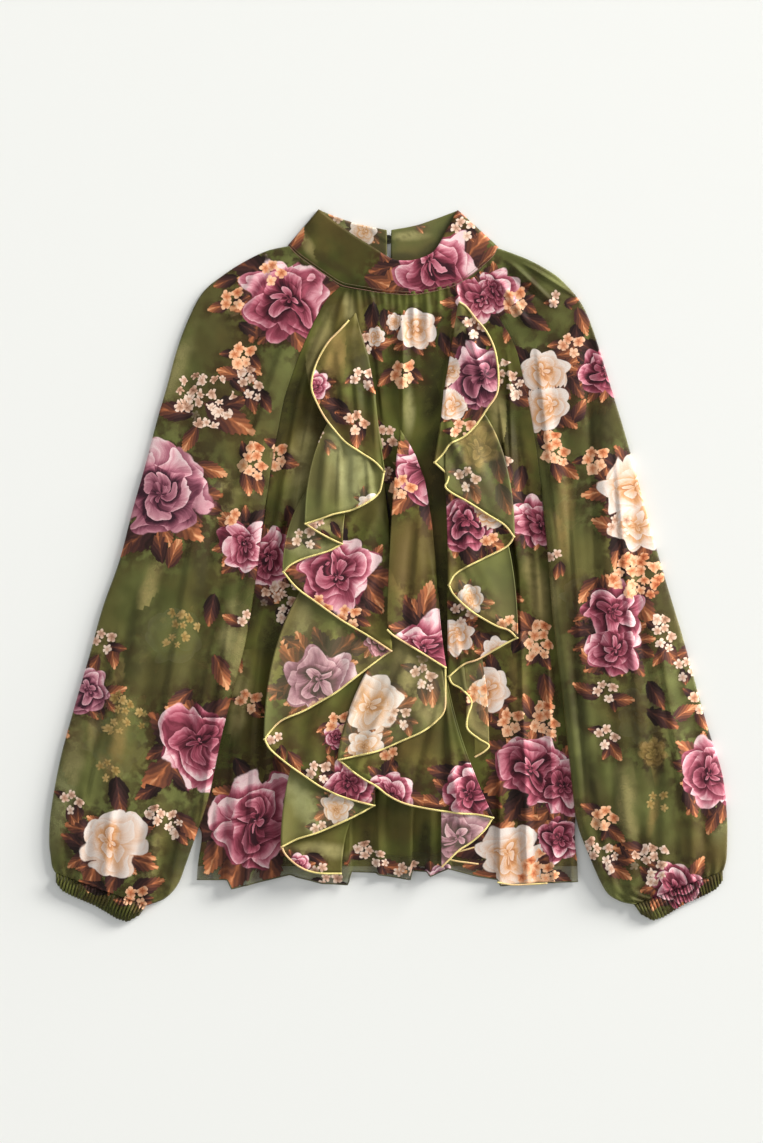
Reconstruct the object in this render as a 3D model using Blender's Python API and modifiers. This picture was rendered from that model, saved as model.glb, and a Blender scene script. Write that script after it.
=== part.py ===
"""Blouse laid flat: raglan sleeves, stand collar and three cascading ruffles.

Everything is measured on a cutting board in millimetres, x to the right and y towards the hem, and
moved to metres at the end. Each piece of cloth is a surface worked out from a short table and made
solid by a Solidify modifier. Pieces are a seam gap apart, and what lies on a panel is lifted off it.
"""
from collections import namedtuple
from math import cos, pi, sin

import bmesh
import bpy
import numpy as np

NAME = "ruffled_blouse"

# ---- driving sizes, in millimetres ---------------------------------------------------------------
BOARD_CENTRE = (388.11, 565.2)  # this point of the board is the part's origin
WALL = 1.2  # thickness of every cloth wall
GAP = 0.3  # clearance at seams and between layers
LAYER = WALL + GAP  # step from one layer's middle to the next
FLOOR_LAYER = WALL / 2  # middle of the cloth that lies on the surface
LINING_LAYER = FLOOR_LAYER + LAYER
FRONT_LAYER = LINING_LAYER + LAYER
OVER_BODY = FRONT_LAYER + LAYER  # middle of a sleeve's lower wall where it lies on the body
SEAM = 0.4  # clearance in plan between two pieces that are sewn together

ROWS_PER_SECTION = 2  # as far as the underarm, and one below it
UNDERARM = 9  # the section where the sleeve becomes a closed tube
LAST_COVERED = 15.5  # the section where the body's side comes out from under the sleeve
SIDE_UNDERLAP = 3.0  # how far the body's side lies under the sleeve
BACK_NECK_RISE = 22.0  # the back neck is this much higher than the front neck
BACK_RISE_SECTIONS = 6.0  # the back raglan seam meets the front one after this many sections
FOLD_RADIUS = 1.0  # of a sleeve's edge folds
FRONT_NECK_SAG, BACK_NECK_SAG = 9.75, 3.9  # how far the neck seams dip between the raglan seams
SAG_ROWS = 0.55  # the dip fades out over this share of the body's rows

# Sleeve rings, in millimetres in from the inner or the outer fold.
TOP_STEPS, LOWER_STEPS = 8, 6
INNER_NEAR, INNER_FAR, OUTER_NEAR = 9.0, 18.0, 12.0  # where the upper wall's first and last columns stand
INNER_LIFTED, INNER_LANDED = 5.0, 15.0  # the lower wall is lifted to here and back on the floor there
LOWER_INNER, LOWER_OUTER = 20.0, 14.0
CLEAR_SECTIONS = (17, 19)  # where the sleeve's inner fold comes down off the body
SIDE_QUIET, QUIET_FADE = 7.0, 10.0  # the front is flat this far in from the sleeves, folded after the fade

# ---- tables, one row for each section or fold ------------------------------------------------------
# A sleeve section runs from its inner edge (raglan seam, then underarm fold) to its outer fold.
Section = namedtuple("Section", "inner_x inner_y outer_x outer_y puff")
LEFT_SLEEVE = [
    Section(340, 287, 289, 246.5, 0), Section(329, 297, 268, 251, 1), Section(319, 312, 245.5, 261.5, 2),
    Section(309, 332, 222, 276.5, 2), Section(300, 353, 202.5, 293.5, 2), Section(292, 375, 188, 321, 2),
    Section(284, 400, 177, 351, 2), Section(278, 430, 167.5, 386, 2), Section(272.5, 457, 157, 422, 3),
    Section(267, 497, 146, 464, 3), Section(262, 530, 133, 510, 3), Section(255.5, 583, 120, 560, 4),
    Section(246, 640, 103, 608, 4), Section(235, 684, 90, 655, 4), Section(222, 735, 76, 703, 5),
    Section(208.5, 798, 61, 758, 6), Section(195, 838, 51.5, 810, 7), Section(187, 861, 49.6, 840, 6),
    Section(178, 884, 51, 856, 4), Section(165, 898, 52.5, 866, 2), Section(147, 905, 55.5, 872, 0),
]
RIGHT_SLEEVE = [
    Section(474, 277, 497.5, 248.5, 0), Section(487, 296, 513, 254, 1), Section(499, 318, 530, 261, 2),
    Section(509, 334, 545, 269, 2), Section(517, 352, 560, 279.5, 2), Section(522, 372, 578.5, 300, 2),
    Section(527, 394, 590, 323, 2), Section(532, 420, 600, 353, 2), Section(537, 452, 614, 399, 3),
    Section(541, 486, 625.5, 437, 3), Section(545.6, 532, 640, 490, 3), Section(548.5, 565, 652, 535, 3),
    Section(552.5, 617.5, 668.5, 591.5, 4), Section(559.4, 675, 684, 643, 4),
    Section(565.7, 730, 697.5, 693, 5), Section(570.5, 772, 709, 733, 6),
    Section(576, 818, 722, 775, 7), Section(586, 848, 726.6, 817, 6), Section(604, 888, 726.6, 850, 4),
    Section(618, 900, 725.5, 862, 2), Section(633, 904, 723, 870, 0),
]

# The body's sides below the sleeves, as far as the hem.
Edge = namedtuple("Edge", "left_x right_x y")
BODY_SIDES = [Edge(202, 574.5, 836), Edge(198.5, 577, 862), Edge(197, 577.8, 881)]

# The front hem hangs unevenly: depth is how far it drops below the line between its corners.
HemPoint = namedtuple("HemPoint", "x depth")
FRONT_HEM = [
    HemPoint(197, -2), HemPoint(228, -2), HemPoint(233, 6), HemPoint(248, 3), HemPoint(290, -7),
    HemPoint(322, 2), HemPoint(349, 3), HemPoint(352, -10), HemPoint(376, -9), HemPoint(394, -5),
    HemPoint(410, -2), HemPoint(413, -11), HemPoint(427, -10), HemPoint(430, -5), HemPoint(448, -13),
    HemPoint(478, -5), HemPoint(498, -2), HemPoint(501, 4), HemPoint(546, 1), HemPoint(578, 0),
]
BACK_HEM, LINING_HEM = 866.0, 857.0
LINING_TOP_ROW, LINING_INSET, LINING_COLUMNS = 3, 7.0, 7
SLIT_X, SLIT_WIDTH, SLIT_SECTIONS = 388.9, 3.0, 3.0

# A fold of the front: its crest runs from top to foot, steep on one side and soft on the other.
Fold = namedtuple("Fold", "top_x top_y foot_x foot_y left_width right_width height")
FRONT_FOLDS = [
    Fold(250, 628, 231, 884, 8, 42, 5.0),  # edge of the left side's deep fold
    Fold(552, 625, 547, 735, 14, 8, 3.0),
    Fold(541, 790, 546, 884, 12, 16, 2.0),
    Fold(272, 800, 272, 880, 10, 14, 1.5),
    Fold(401, 297, 401, 425, 9, 9, 1.6),  # centre of the neck gathers
    Fold(345, 292, 336, 350, 8, 7, 1.2),
    Fold(378, 296, 384, 360, 7, 7, 1.1),
    Fold(389, 297, 392, 345, 6, 6, 0.9),
    Fold(414, 297, 411, 352, 6, 6, 1.0),
    Fold(429, 295, 424, 345, 7, 7, 1.1),
]

# The collar's upper edge, from the centre back round the left fold, the front and the right fold.
TopPoint = namedtuple("TopPoint", "x y z")
COLLAR_BACK_LEFT_TOP = [TopPoint(386.8, 230.5, 4.6), TopPoint(372, 227.5, 3.4), TopPoint(353.5, 223, 1.6),
                        TopPoint(333.5, 216, 0.7), TopPoint(319.5, 210, 0.7)]
COLLAR_FRONT_TOP = [TopPoint(319.5, 210, 3.6), TopPoint(330.5, 219, 5.0), TopPoint(346, 230, 6.5),
                    TopPoint(367, 244, 7.5), TopPoint(387, 256, 8.5), TopPoint(410, 261, 9.0),
                    TopPoint(428, 256, 8.5), TopPoint(439, 245, 7.5), TopPoint(448.5, 227, 5.5),
                    TopPoint(457, 211, 3.6)]
COLLAR_BACK_RIGHT_TOP = [TopPoint(457, 211, 0.7), TopPoint(433, 220, 1.6), TopPoint(415, 226, 3.4),
                         TopPoint(391.2, 230.5, 4.6)]
COLLAR_RISE_ROWS = 2
COLLAR_CLEAR = 0.45  # clearance of the neck seam
COLLAR_CENTRE, COLLAR_SLOPE = 392.0, 40.0  # the seam turns from level to sloping this far off centre
COLLAR_FOLD_CLEAR = 0.9  # more room between the collar's side folds and the sleeves'
COLLAR_FOLDS_FROM, COLLAR_FOLD_FADE = 94.0, 10.0

# A ruffle column runs from its root on the front to its free edge. At a turn the ruffle doubles back:
# first its roots walk down the front while the edge swings in, then it fans out from one root.
Column = namedtuple("Column", "root_y edge_x edge_y turn")
Root = namedtuple("Root", "y x")
LEFT_ROOTS = [Root(309, 358), Root(327, 362), Root(355, 370), Root(416, 378), Root(446, 383),
              Root(520, 389), Root(600, 391), Root(650, 391), Root(740, 386), Root(860, 372)]
LEFT_RUFFLE = [
    Column(313, 349, 321, 0), Column(325, 336, 336, 0), Column(339, 319, 361, 0), Column(351, 312, 389.5, 0),
    Column(362, 325, 418, 0), Column(374, 348, 445, 0), Column(388, 384, 473, 1),
    Column(388, 366, 501.5, 0), Column(388, 334, 514.5, 0), Column(388, 305, 524, 1),
    Column(446, 342, 544, 1), Column(446, 284, 571.5, 1),
    Column(470, 299, 589, 0), Column(498, 343, 620, 0), Column(526, 390, 650.5, 1),
    Column(526, 355, 677, 0), Column(526, 322, 700, 0), Column(526, 283, 719, 0), Column(526, 265.6, 738, 1),
    Column(574, 290, 764, 0), Column(622, 324, 787, 0), Column(662, 374, 804, 1),
    Column(662, 339, 822, 0), Column(662, 318, 831, 0), Column(662, 282.4, 845, 1),
    Column(695, 300, 862, 0), Column(735, 316, 869, 0), Column(785, 342, 872, 0),
]
CENTRE_ROOTS = [Root(428, 402), Root(440, 410), Root(455, 418), Root(480, 427), Root(520, 433),
                Root(560, 436), Root(600, 438), Root(652, 444), Root(840, 444)]
CENTRE_RUFFLE = [
    Column(430, 387, 629, 0), Column(455, 399.5, 639, 0), Column(500, 418.6, 650.5, 0),
    Column(590, 445, 668, 1), Column(590, 440, 709, 0), Column(590, 422, 730.5, 0),
    Column(590, 380, 749, 0), Column(590, 340, 758.6, 1), Column(604, 364.5, 778, 0),
    Column(618, 402.4, 801, 0), Column(634, 454, 811, 0), Column(652, 492, 816, 1),
    Column(652, 471, 841, 0), Column(652, 449, 857, 0), Column(652, 440, 865, 0),
]
RIGHT_ROOTS = [Root(304, 455), Root(366, 447), Root(416, 441), Root(449, 441), Root(500, 445),
               Root(560, 447), Root(705, 450)]
RIGHT_RUFFLE = [
    Column(305, 461, 307, 0), Column(317, 480, 325, 0), Column(332, 493, 345, 0), Column(346, 498, 376, 0),
    Column(358, 489, 407, 0), Column(371, 466, 436, 0), Column(386, 438, 463, 1),
    Column(386, 451, 486, 0), Column(386, 489, 516, 0), Column(386, 513, 537, 1),
    Column(412, 482, 559, 0), Column(446, 449, 584, 1), Column(446, 471, 611, 0), Column(446, 516, 637, 1),
    Column(500, 493, 650, 0), Column(590, 449.5, 676, 1), Column(590, 465, 694, 0), Column(590, 472, 720, 0),
    Column(590, 489.4, 745, 0),
]
RUFFLE_RISE = 0.058  # height gained for each millimetre that a column hangs below its root
SIDE_CURL, CENTRE_CURL = 2.0, 1.5  # how early a column swings outward before it hangs down
CENTRE_LIFT = 1.9  # the centre ruffle starts higher than the side ones
TURN_HALF = 0.85  # half the height between a turn's two walls
RUFFLE_CLEAR = 0.15  # more room between the ruffles and the front's folds
FAN_RADIUS = 3.0  # the roots of a fan stand this far round its centre
RUFFLE_STEPS = 5
COLUMN_STEPS = 2

# Elastic cuffs: the casing hangs from the sleeve's end, its lower edge bowed and gathered.
CuffDepth = namedtuple("CuffDepth", "share depth")
CUFF_DEPTHS = [CuffDepth(0, 11.5), CuffDepth(0.1, 21.6), CuffDepth(0.22, 22.2), CuffDepth(0.5, 17.4),
               CuffDepth(0.78, 16), CuffDepth(0.9, 14.5), CuffDepth(1, 9)]
CUFF_START, CUFF_TUCK_INNER, CUFF_TUCK_OUTER = 1.2, 3.0, 3.5
CUFF_ROWS, CUFF_GATHERS, CUFF_GATHER_HEIGHT = 3, 12, 0.45

BUTTON_RADIUS, BUTTON_THICK, STEM_RADIUS, STEM_TOP = 4.5, 1.3, 1.0, 2.4
BUTTON_AT = (388.4, 239.5)
LOOP_THREAD, LOOP_CLEAR, LOOP_END_X = 0.35, 0.4, 393.5

COLOURS = {
    "print": (0.105, 0.135, 0.045, 1.0),
    "sheer": (0.150, 0.175, 0.075, 1.0),
    "lining": (0.070, 0.085, 0.030, 1.0),
    "shell": (0.450, 0.420, 0.250, 1.0),
}


# ---- small helpers ---------------------------------------------------------------------------------
def spline(rows, at):
    """A Catmull-Rom curve through rows, read at fractional row numbers."""
    rows = np.asarray(rows, float)
    at = np.clip(np.atleast_1d(np.asarray(at, float)), 0, len(rows) - 1)
    i = np.minimum(at.astype(int), len(rows) - 2)
    t = (at - i)[:, None]
    p0, p1 = rows[np.maximum(i - 1, 0)], rows[i]
    p2, p3 = rows[i + 1], rows[np.minimum(i + 2, len(rows) - 1)]
    return p1 + 0.5 * t * ((p2 - p0) + t * ((2 * p0 - 5 * p1 + 4 * p2 - p3) + t * (3 * (p1 - p2) + p3 - p0)))


def smooth(t):
    """0 to 1 with flat ends."""
    t = np.clip(t, 0.0, 1.0)
    return t * t * (3 - 2 * t)


def between(a, b, t):
    """The points from a to b at the fractions t."""
    return np.asarray(a, float) + np.outer(t, np.asarray(b, float) - np.asarray(a, float))


def curve_at(points, count):
    """count points along a table of points, evenly spaced by length."""
    fine = spline(points, np.linspace(0, len(points) - 1, 40 * len(points)))
    length = np.concatenate([[0], np.cumsum(np.linalg.norm(np.diff(fine[:, :2], axis=0), axis=1))])
    want = np.linspace(0, length[-1], count)
    return np.column_stack([np.interp(want, length, fine[:, k]) for k in range(fine.shape[1])])


def front_relief(x, y):
    """Height of the front's folds over its flat cloth."""
    total = np.zeros(np.broadcast(x, y).shape)
    for f in FRONT_FOLDS:
        t = (y - f.top_y) / (f.foot_y - f.top_y)
        crest = f.top_x + (f.foot_x - f.top_x) * t
        side = np.where(x < crest, (crest - x) / f.left_width, (x - crest) / f.right_width)
        open_foot = 1.0 if f.foot_y > 870 else smooth((1 - t) / 0.3)
        total = total + f.height * (1 - smooth(side)) * smooth(t / 0.3) * open_foot
    return total


# ---- seams shared by neighbouring pieces -------------------------------------------------------------
def seam_points(sleeve, at, back):
    """The raglan seam and underarm fold of a sleeve, on the front or the back, at section numbers."""
    at = np.atleast_1d(np.asarray(at, float))
    p = spline([(s.inner_x, s.inner_y) for s in sleeve], at)
    if back:
        p[:, 1] -= BACK_NECK_RISE * np.clip(1 - at / BACK_RISE_SECTIONS, 0, 1) ** 2
    return p


def body_rows():
    """Section numbers of the body's rows as far as the sleeves cover its sides."""
    upper = np.arange(0, UNDERARM, 1 / ROWS_PER_SECTION)
    return np.concatenate([upper, np.arange(UNDERARM, LAST_COVERED), [LAST_COVERED]])


def body_sides(back):
    """The body's left and right edges, a row for each of its rows."""
    at = body_rows()
    sides = []
    for sleeve, inward in ((LEFT_SLEEVE, 1), (RIGHT_SLEEVE, -1)):
        p = seam_points(sleeve, at, back)
        outer = spline([(s.outer_x, s.outer_y) for s in sleeve], at)
        away = p - outer
        away = away / np.linalg.norm(away, axis=1)[:, None]
        under = smooth((at - UNDERARM - 1) / 1.0)  # slides under the sleeve one section below the arm
        p = p + away * (SEAM * (1 - under))[:, None]
        p[:, 0] -= inward * SIDE_UNDERLAP * under
        sides.append(p)
    left = np.vstack([sides[0], [(e.left_x, e.y) for e in BODY_SIDES]])
    right = np.vstack([sides[1], [(e.right_x, e.y) for e in BODY_SIDES]])
    return left, right


def body_plan(across, back):
    """Plan positions of the body's rows, as two arrays x and y."""
    left, right = body_sides(back)
    t = np.asarray(across, float)
    x = left[:, :1] + (right[:, :1] - left[:, :1]) * t
    y = left[:, 1:] + (right[:, 1:] - left[:, 1:]) * t
    row = np.arange(len(left))[:, None] / (len(left) - 1)
    sag = (BACK_NECK_SAG if back else FRONT_NECK_SAG) * 4 * t * (1 - t)
    y = y + sag * np.clip(1 - row / SAG_ROWS, 0, 1) ** 2
    return x, y


# ---- building meshes ---------------------------------------------------------------------------------
def to_world(points):
    p = np.asarray(points, float)
    x = (p[..., 0] - BOARD_CENTRE[0]) / 1000
    y = (BOARD_CENTRE[1] - p[..., 1]) / 1000
    return np.stack([x, y, p[..., 2] / 1000], -1)


def make_material(kind):
    material = bpy.data.materials.get("cloth_" + kind) or bpy.data.materials.new("cloth_" + kind)
    material.use_nodes = True
    shader = material.node_tree.nodes["Principled BSDF"]
    shader.inputs["Base Color"].default_value = COLOURS[kind]
    shader.inputs["Roughness"].default_value = 0.8 if kind != "shell" else 0.35
    return material


def add_object(name, mesh, kind):
    mesh.materials.append(make_material(kind))
    piece = bpy.data.objects.new(name, mesh)
    collection.objects.link(piece)
    return piece


def add_cloth(name, vertices, faces, kind):
    """A surface of board points made into a wall, half of it on each side."""
    mesh = bpy.data.meshes.new(name)
    mesh.from_pydata([tuple(p) for p in to_world(vertices)], [], faces)
    weld = bmesh.new()
    weld.from_mesh(mesh)
    bmesh.ops.remove_doubles(weld, verts=weld.verts, dist=1e-6)
    weld.to_mesh(mesh)
    weld.free()
    mesh.shade_smooth()
    piece = add_object(name, mesh, kind)
    wall = piece.modifiers.new("wall", "SOLIDIFY")
    wall.thickness = WALL / 1000
    wall.offset = 0.0
    return piece


def grid_faces(rows, columns, keep=lambda r, c: True):
    """Quads of a grid whose rows run away from the viewer's left hand, wound to face up."""
    quads = []
    for r in range(rows - 1):
        for c in range(columns - 1):
            if keep(r, c):
                a = r * columns + c
                quads.append((a, a + columns, a + columns + 1, a + 1))
    return quads


# ---- pieces --------------------------------------------------------------------------------------------
FRONT_ACROSS = np.concatenate([[0, 0.025], np.linspace(0.06, 0.94, 19), [0.975, 1]])
BACK_ACROSS_HALF = np.linspace(0, 1, 5)


def hem_depth(x):
    return np.interp(x, [h.x for h in FRONT_HEM], [h.depth for h in FRONT_HEM])


def front_height(x, y):
    return FRONT_LAYER + front_relief(x, y) * side_quiet(x, y)


def side_quiet(x, y):
    """Keeps the folds away from the sides, where the sleeves lie on the body."""
    left, right = body_sides(back=False)
    lx = np.interp(y, left[:, 1], left[:, 0])
    rx = np.interp(y, right[:, 1], right[:, 0])
    free = y > BODY_SIDES[0].y
    near = smooth((x - lx - SIDE_QUIET) / QUIET_FADE) * smooth((rx - x - SIDE_QUIET) / QUIET_FADE)
    return np.where(free, 1.0, near)


def make_front_panel():
    x, y = body_plan(FRONT_ACROSS, back=False)
    drop = np.array([0.25, 0.6, 1.0])[:, None]  # the hem's unevenness starts above it
    y[-3:] += drop * hem_depth(x[-3:])
    z = front_height(x, y)
    points = np.stack([x, y, z], -1).reshape(-1, 3)
    add_cloth("front_panel", points, grid_faces(*x.shape), "print")


def back_across():
    """Fractions across the back: two halves that stay apart at the centre slit."""
    first, last = LEFT_SLEEVE[0].inner_x, RIGHT_SLEEVE[0].inner_x
    left = (SLIT_X - SLIT_WIDTH / 2 - first) / (last - first)
    right = (SLIT_X + SLIT_WIDTH / 2 - first) / (last - first)
    return np.concatenate([BACK_ACROSS_HALF * left, right + BACK_ACROSS_HALF * (1 - right)])


def make_back_panel():
    across = back_across()
    x, y = body_plan(across, back=True)
    y[-1] = BACK_HEM
    y[-2] = np.minimum(y[-2], BACK_HEM - 12)
    points = np.stack([x, y, np.full_like(x, FLOOR_LAYER)], -1).reshape(-1, 3)
    split = len(BACK_ACROSS_HALF) - 1
    slit_rows = int(SLIT_SECTIONS * ROWS_PER_SECTION)
    faces = grid_faces(*x.shape, keep=lambda r, c: c != split or r >= slit_rows)
    add_cloth("back_panel", points, faces, "print")


def make_lining():
    across = np.linspace(0, 1, LINING_COLUMNS)
    x, y = body_plan(across, back=False)
    x, y = x[LINING_TOP_ROW:-1] + LINING_INSET * (1 - 2 * across), y[LINING_TOP_ROW:-1]
    y[-1] = LINING_HEM
    points = np.stack([x, y, np.full_like(x, LINING_LAYER)], -1).reshape(-1, 3)
    add_cloth("lining", points, grid_faces(*x.shape), "lining")




def sleeve_ring(sleeve, at):
    """One ring of a sleeve: its upper wall from the inner to the outer edge, the fold, the lower wall."""
    s = spline(sleeve, at)[0]
    inner, outer, puff = s[:2], s[2:4], s[4]
    width = np.linalg.norm(outer - inner)
    out = (outer - inner) / width
    closed = at >= UNDERARM
    lift = (OVER_BODY - FLOOR_LAYER) * smooth(at - UNDERARM) if closed else 0.0
    lift *= 1 - smooth((at - CLEAR_SECTIONS[0]) / (CLEAR_SECTIONS[1] - CLEAR_SECTIONS[0]))
    turn = FOLD_RADIUS + WALL / 2
    inset = turn if closed else 0.0
    upper = np.concatenate([[inset, INNER_NEAR],
                            np.linspace(INNER_FAR, width - OUTER_NEAR, TOP_STEPS - 3), [width - turn]])
    near = 1 - smooth((upper - INNER_LIFTED) / (INNER_FAR - INNER_LIFTED))
    arch = np.sin(pi * upper / width) ** 0.8
    ring = [(*(inner + out * d), FRONT_LAYER + h) for d, h in zip(upper, puff * arch + near * lift)]
    ring.append((*(outer - out * WALL / 2), (FRONT_LAYER + FLOOR_LAYER) / 2))
    rise = BACK_NECK_RISE * max(0.0, 1 - at / BACK_RISE_SECTIONS) ** 2
    lower = np.concatenate([[width - turn], np.linspace(width - LOWER_OUTER, LOWER_INNER, LOWER_STEPS - 4),
                            [INNER_LANDED, INNER_LIFTED, inset]])
    near = 1 - smooth((lower - INNER_LIFTED) / (INNER_LANDED - INNER_LIFTED))
    for d, n in zip(lower, near):
        x, y = inner + out * d
        ring.append((x, y - rise * (1 - d / width), FLOOR_LAYER + lift * n))
    fold = (*(inner + out * WALL / 2), (ring[0][2] + ring[-1][2]) / 2) if closed else None
    return ring, fold


def make_sleeve(name, sleeve, flip):
    upper = np.arange(0, UNDERARM, 1 / ROWS_PER_SECTION)
    sections = np.concatenate([upper, np.arange(UNDERARM, len(sleeve))])
    rings, folds = zip(*[sleeve_ring(sleeve, a) for a in sections])
    columns = len(rings[0])
    vertices = [p for ring in rings for p in ring]
    faces = grid_faces(len(rings), columns)
    first_closed = next(i for i, f in enumerate(folds) if f is not None)
    fold_at = {}
    for i, fold in enumerate(folds):
        if fold is not None:
            fold_at[i] = len(vertices)
            vertices.append(fold)
    for i in range(first_closed, len(rings) - 1):
        last, first = i * columns + columns - 1, i * columns
        faces.append((last, last + columns, fold_at[i + 1], fold_at[i]))
        faces.append((fold_at[i], fold_at[i + 1], first + columns, first))
    if flip:
        faces = [tuple(reversed(f)) for f in faces]
    add_cloth(name, vertices, faces, "sheer")


def make_cuff(name, sleeve, inward):
    """A gathered casing round the wrist, in line with the sleeve's end."""
    end = spline(sleeve, len(sleeve) - 1)[0]
    inner, outer = end[:2], end[2:4]
    along = (outer - inner) / np.linalg.norm(outer - inner)
    down = np.array([along[1], -along[0]]) * inward
    width = np.linalg.norm(outer - inner)
    vertices = []
    for down_share in np.linspace(0, 1, CUFF_ROWS):
        first = CUFF_START + CUFF_TUCK_INNER * down_share
        last = width - CUFF_START - CUFF_TUCK_OUTER * down_share

        def place(share):
            drop = np.interp(share, [c.share for c in CUFF_DEPTHS], [c.depth for c in CUFF_DEPTHS])
            down_by = SEAM + (drop - SEAM) * down_share
            return inner + along * (first + (last - first) * share) + down * down_by

        inset = (FOLD_RADIUS + WALL / 2) / width
        for wall_z, order in ((FRONT_LAYER, 1), (FLOOR_LAYER, -1)):
            for share in np.linspace(inset, 1 - inset, 3 * CUFF_GATHERS + 1)[::order]:
                wave = 1 + sin(2 * pi * CUFF_GATHERS * share)
                lift = CUFF_GATHER_HEIGHT * wave * (0.3 + 0.7 * down_share) if order > 0 else 0.0
                vertices.append((*place(share), wall_z + lift))
            side = 1 - WALL / 2 / width if order > 0 else WALL / 2 / width
            vertices.append((*place(side), (FRONT_LAYER + FLOOR_LAYER) / 2))
    columns = len(vertices) // CUFF_ROWS
    faces = grid_faces(CUFF_ROWS, columns)
    for r in range(CUFF_ROWS - 1):
        a, b = r * columns + columns - 1, r * columns
        faces.append((a, a + columns, b + columns, b))
    if inward < 0:
        faces = [tuple(reversed(f)) for f in faces]
    add_cloth(name, vertices, faces, "sheer")


def collar_seam(back):
    """The neck seam from one side fold to the other, from the sleeves' and the body's own points."""
    ends = []
    for sleeve in (LEFT_SLEEVE, RIGHT_SLEEVE):
        ring, _ = sleeve_ring(sleeve, 0.0)
        upper, lower = np.array(ring[:TOP_STEPS]), np.array(ring[TOP_STEPS + 1:])
        ends.append(lower if back else upper[::-1])
    x, y = body_plan(back_across() if back else FRONT_ACROSS, back)
    z = np.full_like(x[0], FLOOR_LAYER) if back else front_height(x[0], y[0])
    body = np.stack([x[0], y[0], z], -1)
    return ends[0], body, ends[1][::-1]


def make_collar():
    columns = []

    def span(seam, top):
        top = curve_at(top, len(seam))
        clear = np.zeros_like(seam)
        clear[:, 1] = -COLLAR_CLEAR
        off_centre = COLLAR_CENTRE - seam[:, 0]
        clear[:, 0] = SEAM * np.clip(off_centre / COLLAR_SLOPE, -1, 1)
        near_fold = np.clip((np.abs(off_centre) - COLLAR_FOLDS_FROM) / COLLAR_FOLD_FADE, 0, 1)
        clear[:, 0] += COLLAR_FOLD_CLEAR * near_fold * np.sign(off_centre)
        columns.extend(zip(seam + clear, top))

    left, body, right = collar_seam(back=True)
    half = len(body) // 2
    span(np.vstack([left, body[:half]])[::-1], COLLAR_BACK_LEFT_TOP)
    fold_left = len(columns)
    left, body, right_front = collar_seam(back=False)
    span(np.vstack([left, body, right_front]), COLLAR_FRONT_TOP)
    fold_right = len(columns)
    _, body, right = collar_seam(back=True)
    span(np.vstack([body[half:], right])[::-1], COLLAR_BACK_RIGHT_TOP)
    push = np.array([FOLD_RADIUS, 0, 0])
    for at, way in ((fold_right, 1), (fold_left, -1)):
        before, after = columns[at - 1], columns[at]
        middle = tuple((np.array(a) + np.array(b)) / 2 + way * push for a, b in zip(before, after))
        columns.insert(at, middle)
    t = np.linspace(0, 1, COLLAR_RISE_ROWS + 1)
    vertices = [tuple(p) for seam, top in columns for p in between(seam, top, t)]
    faces = grid_faces(len(columns), COLLAR_RISE_ROWS + 1)
    add_cloth("collar", vertices, faces, "print")


def ruffle_columns(table, steps, starts_folded):
    """Rows of root height, edge, layer offset, outward push, hang and bend, a rounded one at each turn.

    The hang is 0 where a column swings fully outward and 1 where it hangs straight down. The bend is 0
    where a column is straight, as at the ruffle's start, and 1 where it curls fully.
    """
    turns = [i for i, c in enumerate(table) if c.turn]
    stops = [0] + turns + [len(table) - 1]
    columns = []
    for first, last in zip(stops, stops[1:]):
        part = np.array([(c.root_y, c.edge_x, c.edge_y) for c in table[first:last + 1]])
        count = (last - first) * steps + 1 if last - first > 1 else 2 * steps + 1
        at = np.linspace(0, last - first, count)
        fans_out = part[0, 0] == part[-1, 0]
        start, stop = (-1, -1) if fans_out else (-3, 1)
        share = at / at[-1]
        offset = TURN_HALF * (start + (stop - start) * share)
        hang = 1 - share if fans_out else share
        bend = share if first == 0 and not starts_folded else np.ones_like(share)
        columns += [(*row, o, 0, h, b) for row, o, h, b in zip(spline(part, at), offset, hang, bend)]
        if last in turns:
            beyond = np.sign(table[last].edge_x - 0.5 * (table[last - 1].edge_x + table[last + 1].edge_x))
            columns.append((*part[-1], -2 * TURN_HALF if fans_out else 0.0, beyond, hang[-1], 1.0))
    return columns


def ruffle_points(table, roots, outward, curl, lift, steps, along):
    """Board points of a ruffle. A column swings outward and then hangs, or hangs and then swings in."""
    w = np.linspace(0, 1, along + 1)
    root_y, root_x = [r.y for r in roots], [r.x for r in roots]
    points = []
    for top, edge_x, edge_y, offset, beyond, hang, bend in ruffle_columns(table, steps, curl < SIDE_CURL):
        bowed = 1 + (curl - 1) * bend
        x0 = np.interp(top, root_y, root_x) + outward * FAN_RADIUS * (1 - hang)
        top += FAN_RADIUS * hang
        swing = 1 - (1 - w) ** bowed if (edge_x - x0) * outward > 0 else w ** 2
        x = x0 + (edge_x - x0) * swing + beyond * TURN_HALF
        y = top + (edge_y - top) * w ** (0.5 + bowed / 2)
        z = front_height(x, y) + LAYER + RUFFLE_CLEAR + 3 * TURN_HALF + lift + offset
        z = z + RUFFLE_RISE * (y - top)
        points.append(np.stack([x, y, z], -1))
    return np.array(points)


def make_ruffle(name, table, roots, outward, curl=SIDE_CURL, lift=0.0):
    points = ruffle_points(table, roots, outward, curl, lift, COLUMN_STEPS, RUFFLE_STEPS)
    faces = grid_faces(*points.shape[:2])
    if outward > 0:
        faces = [tuple(reversed(f)) for f in faces]
    add_cloth(name, points.reshape(-1, 3), faces, "print")


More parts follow.
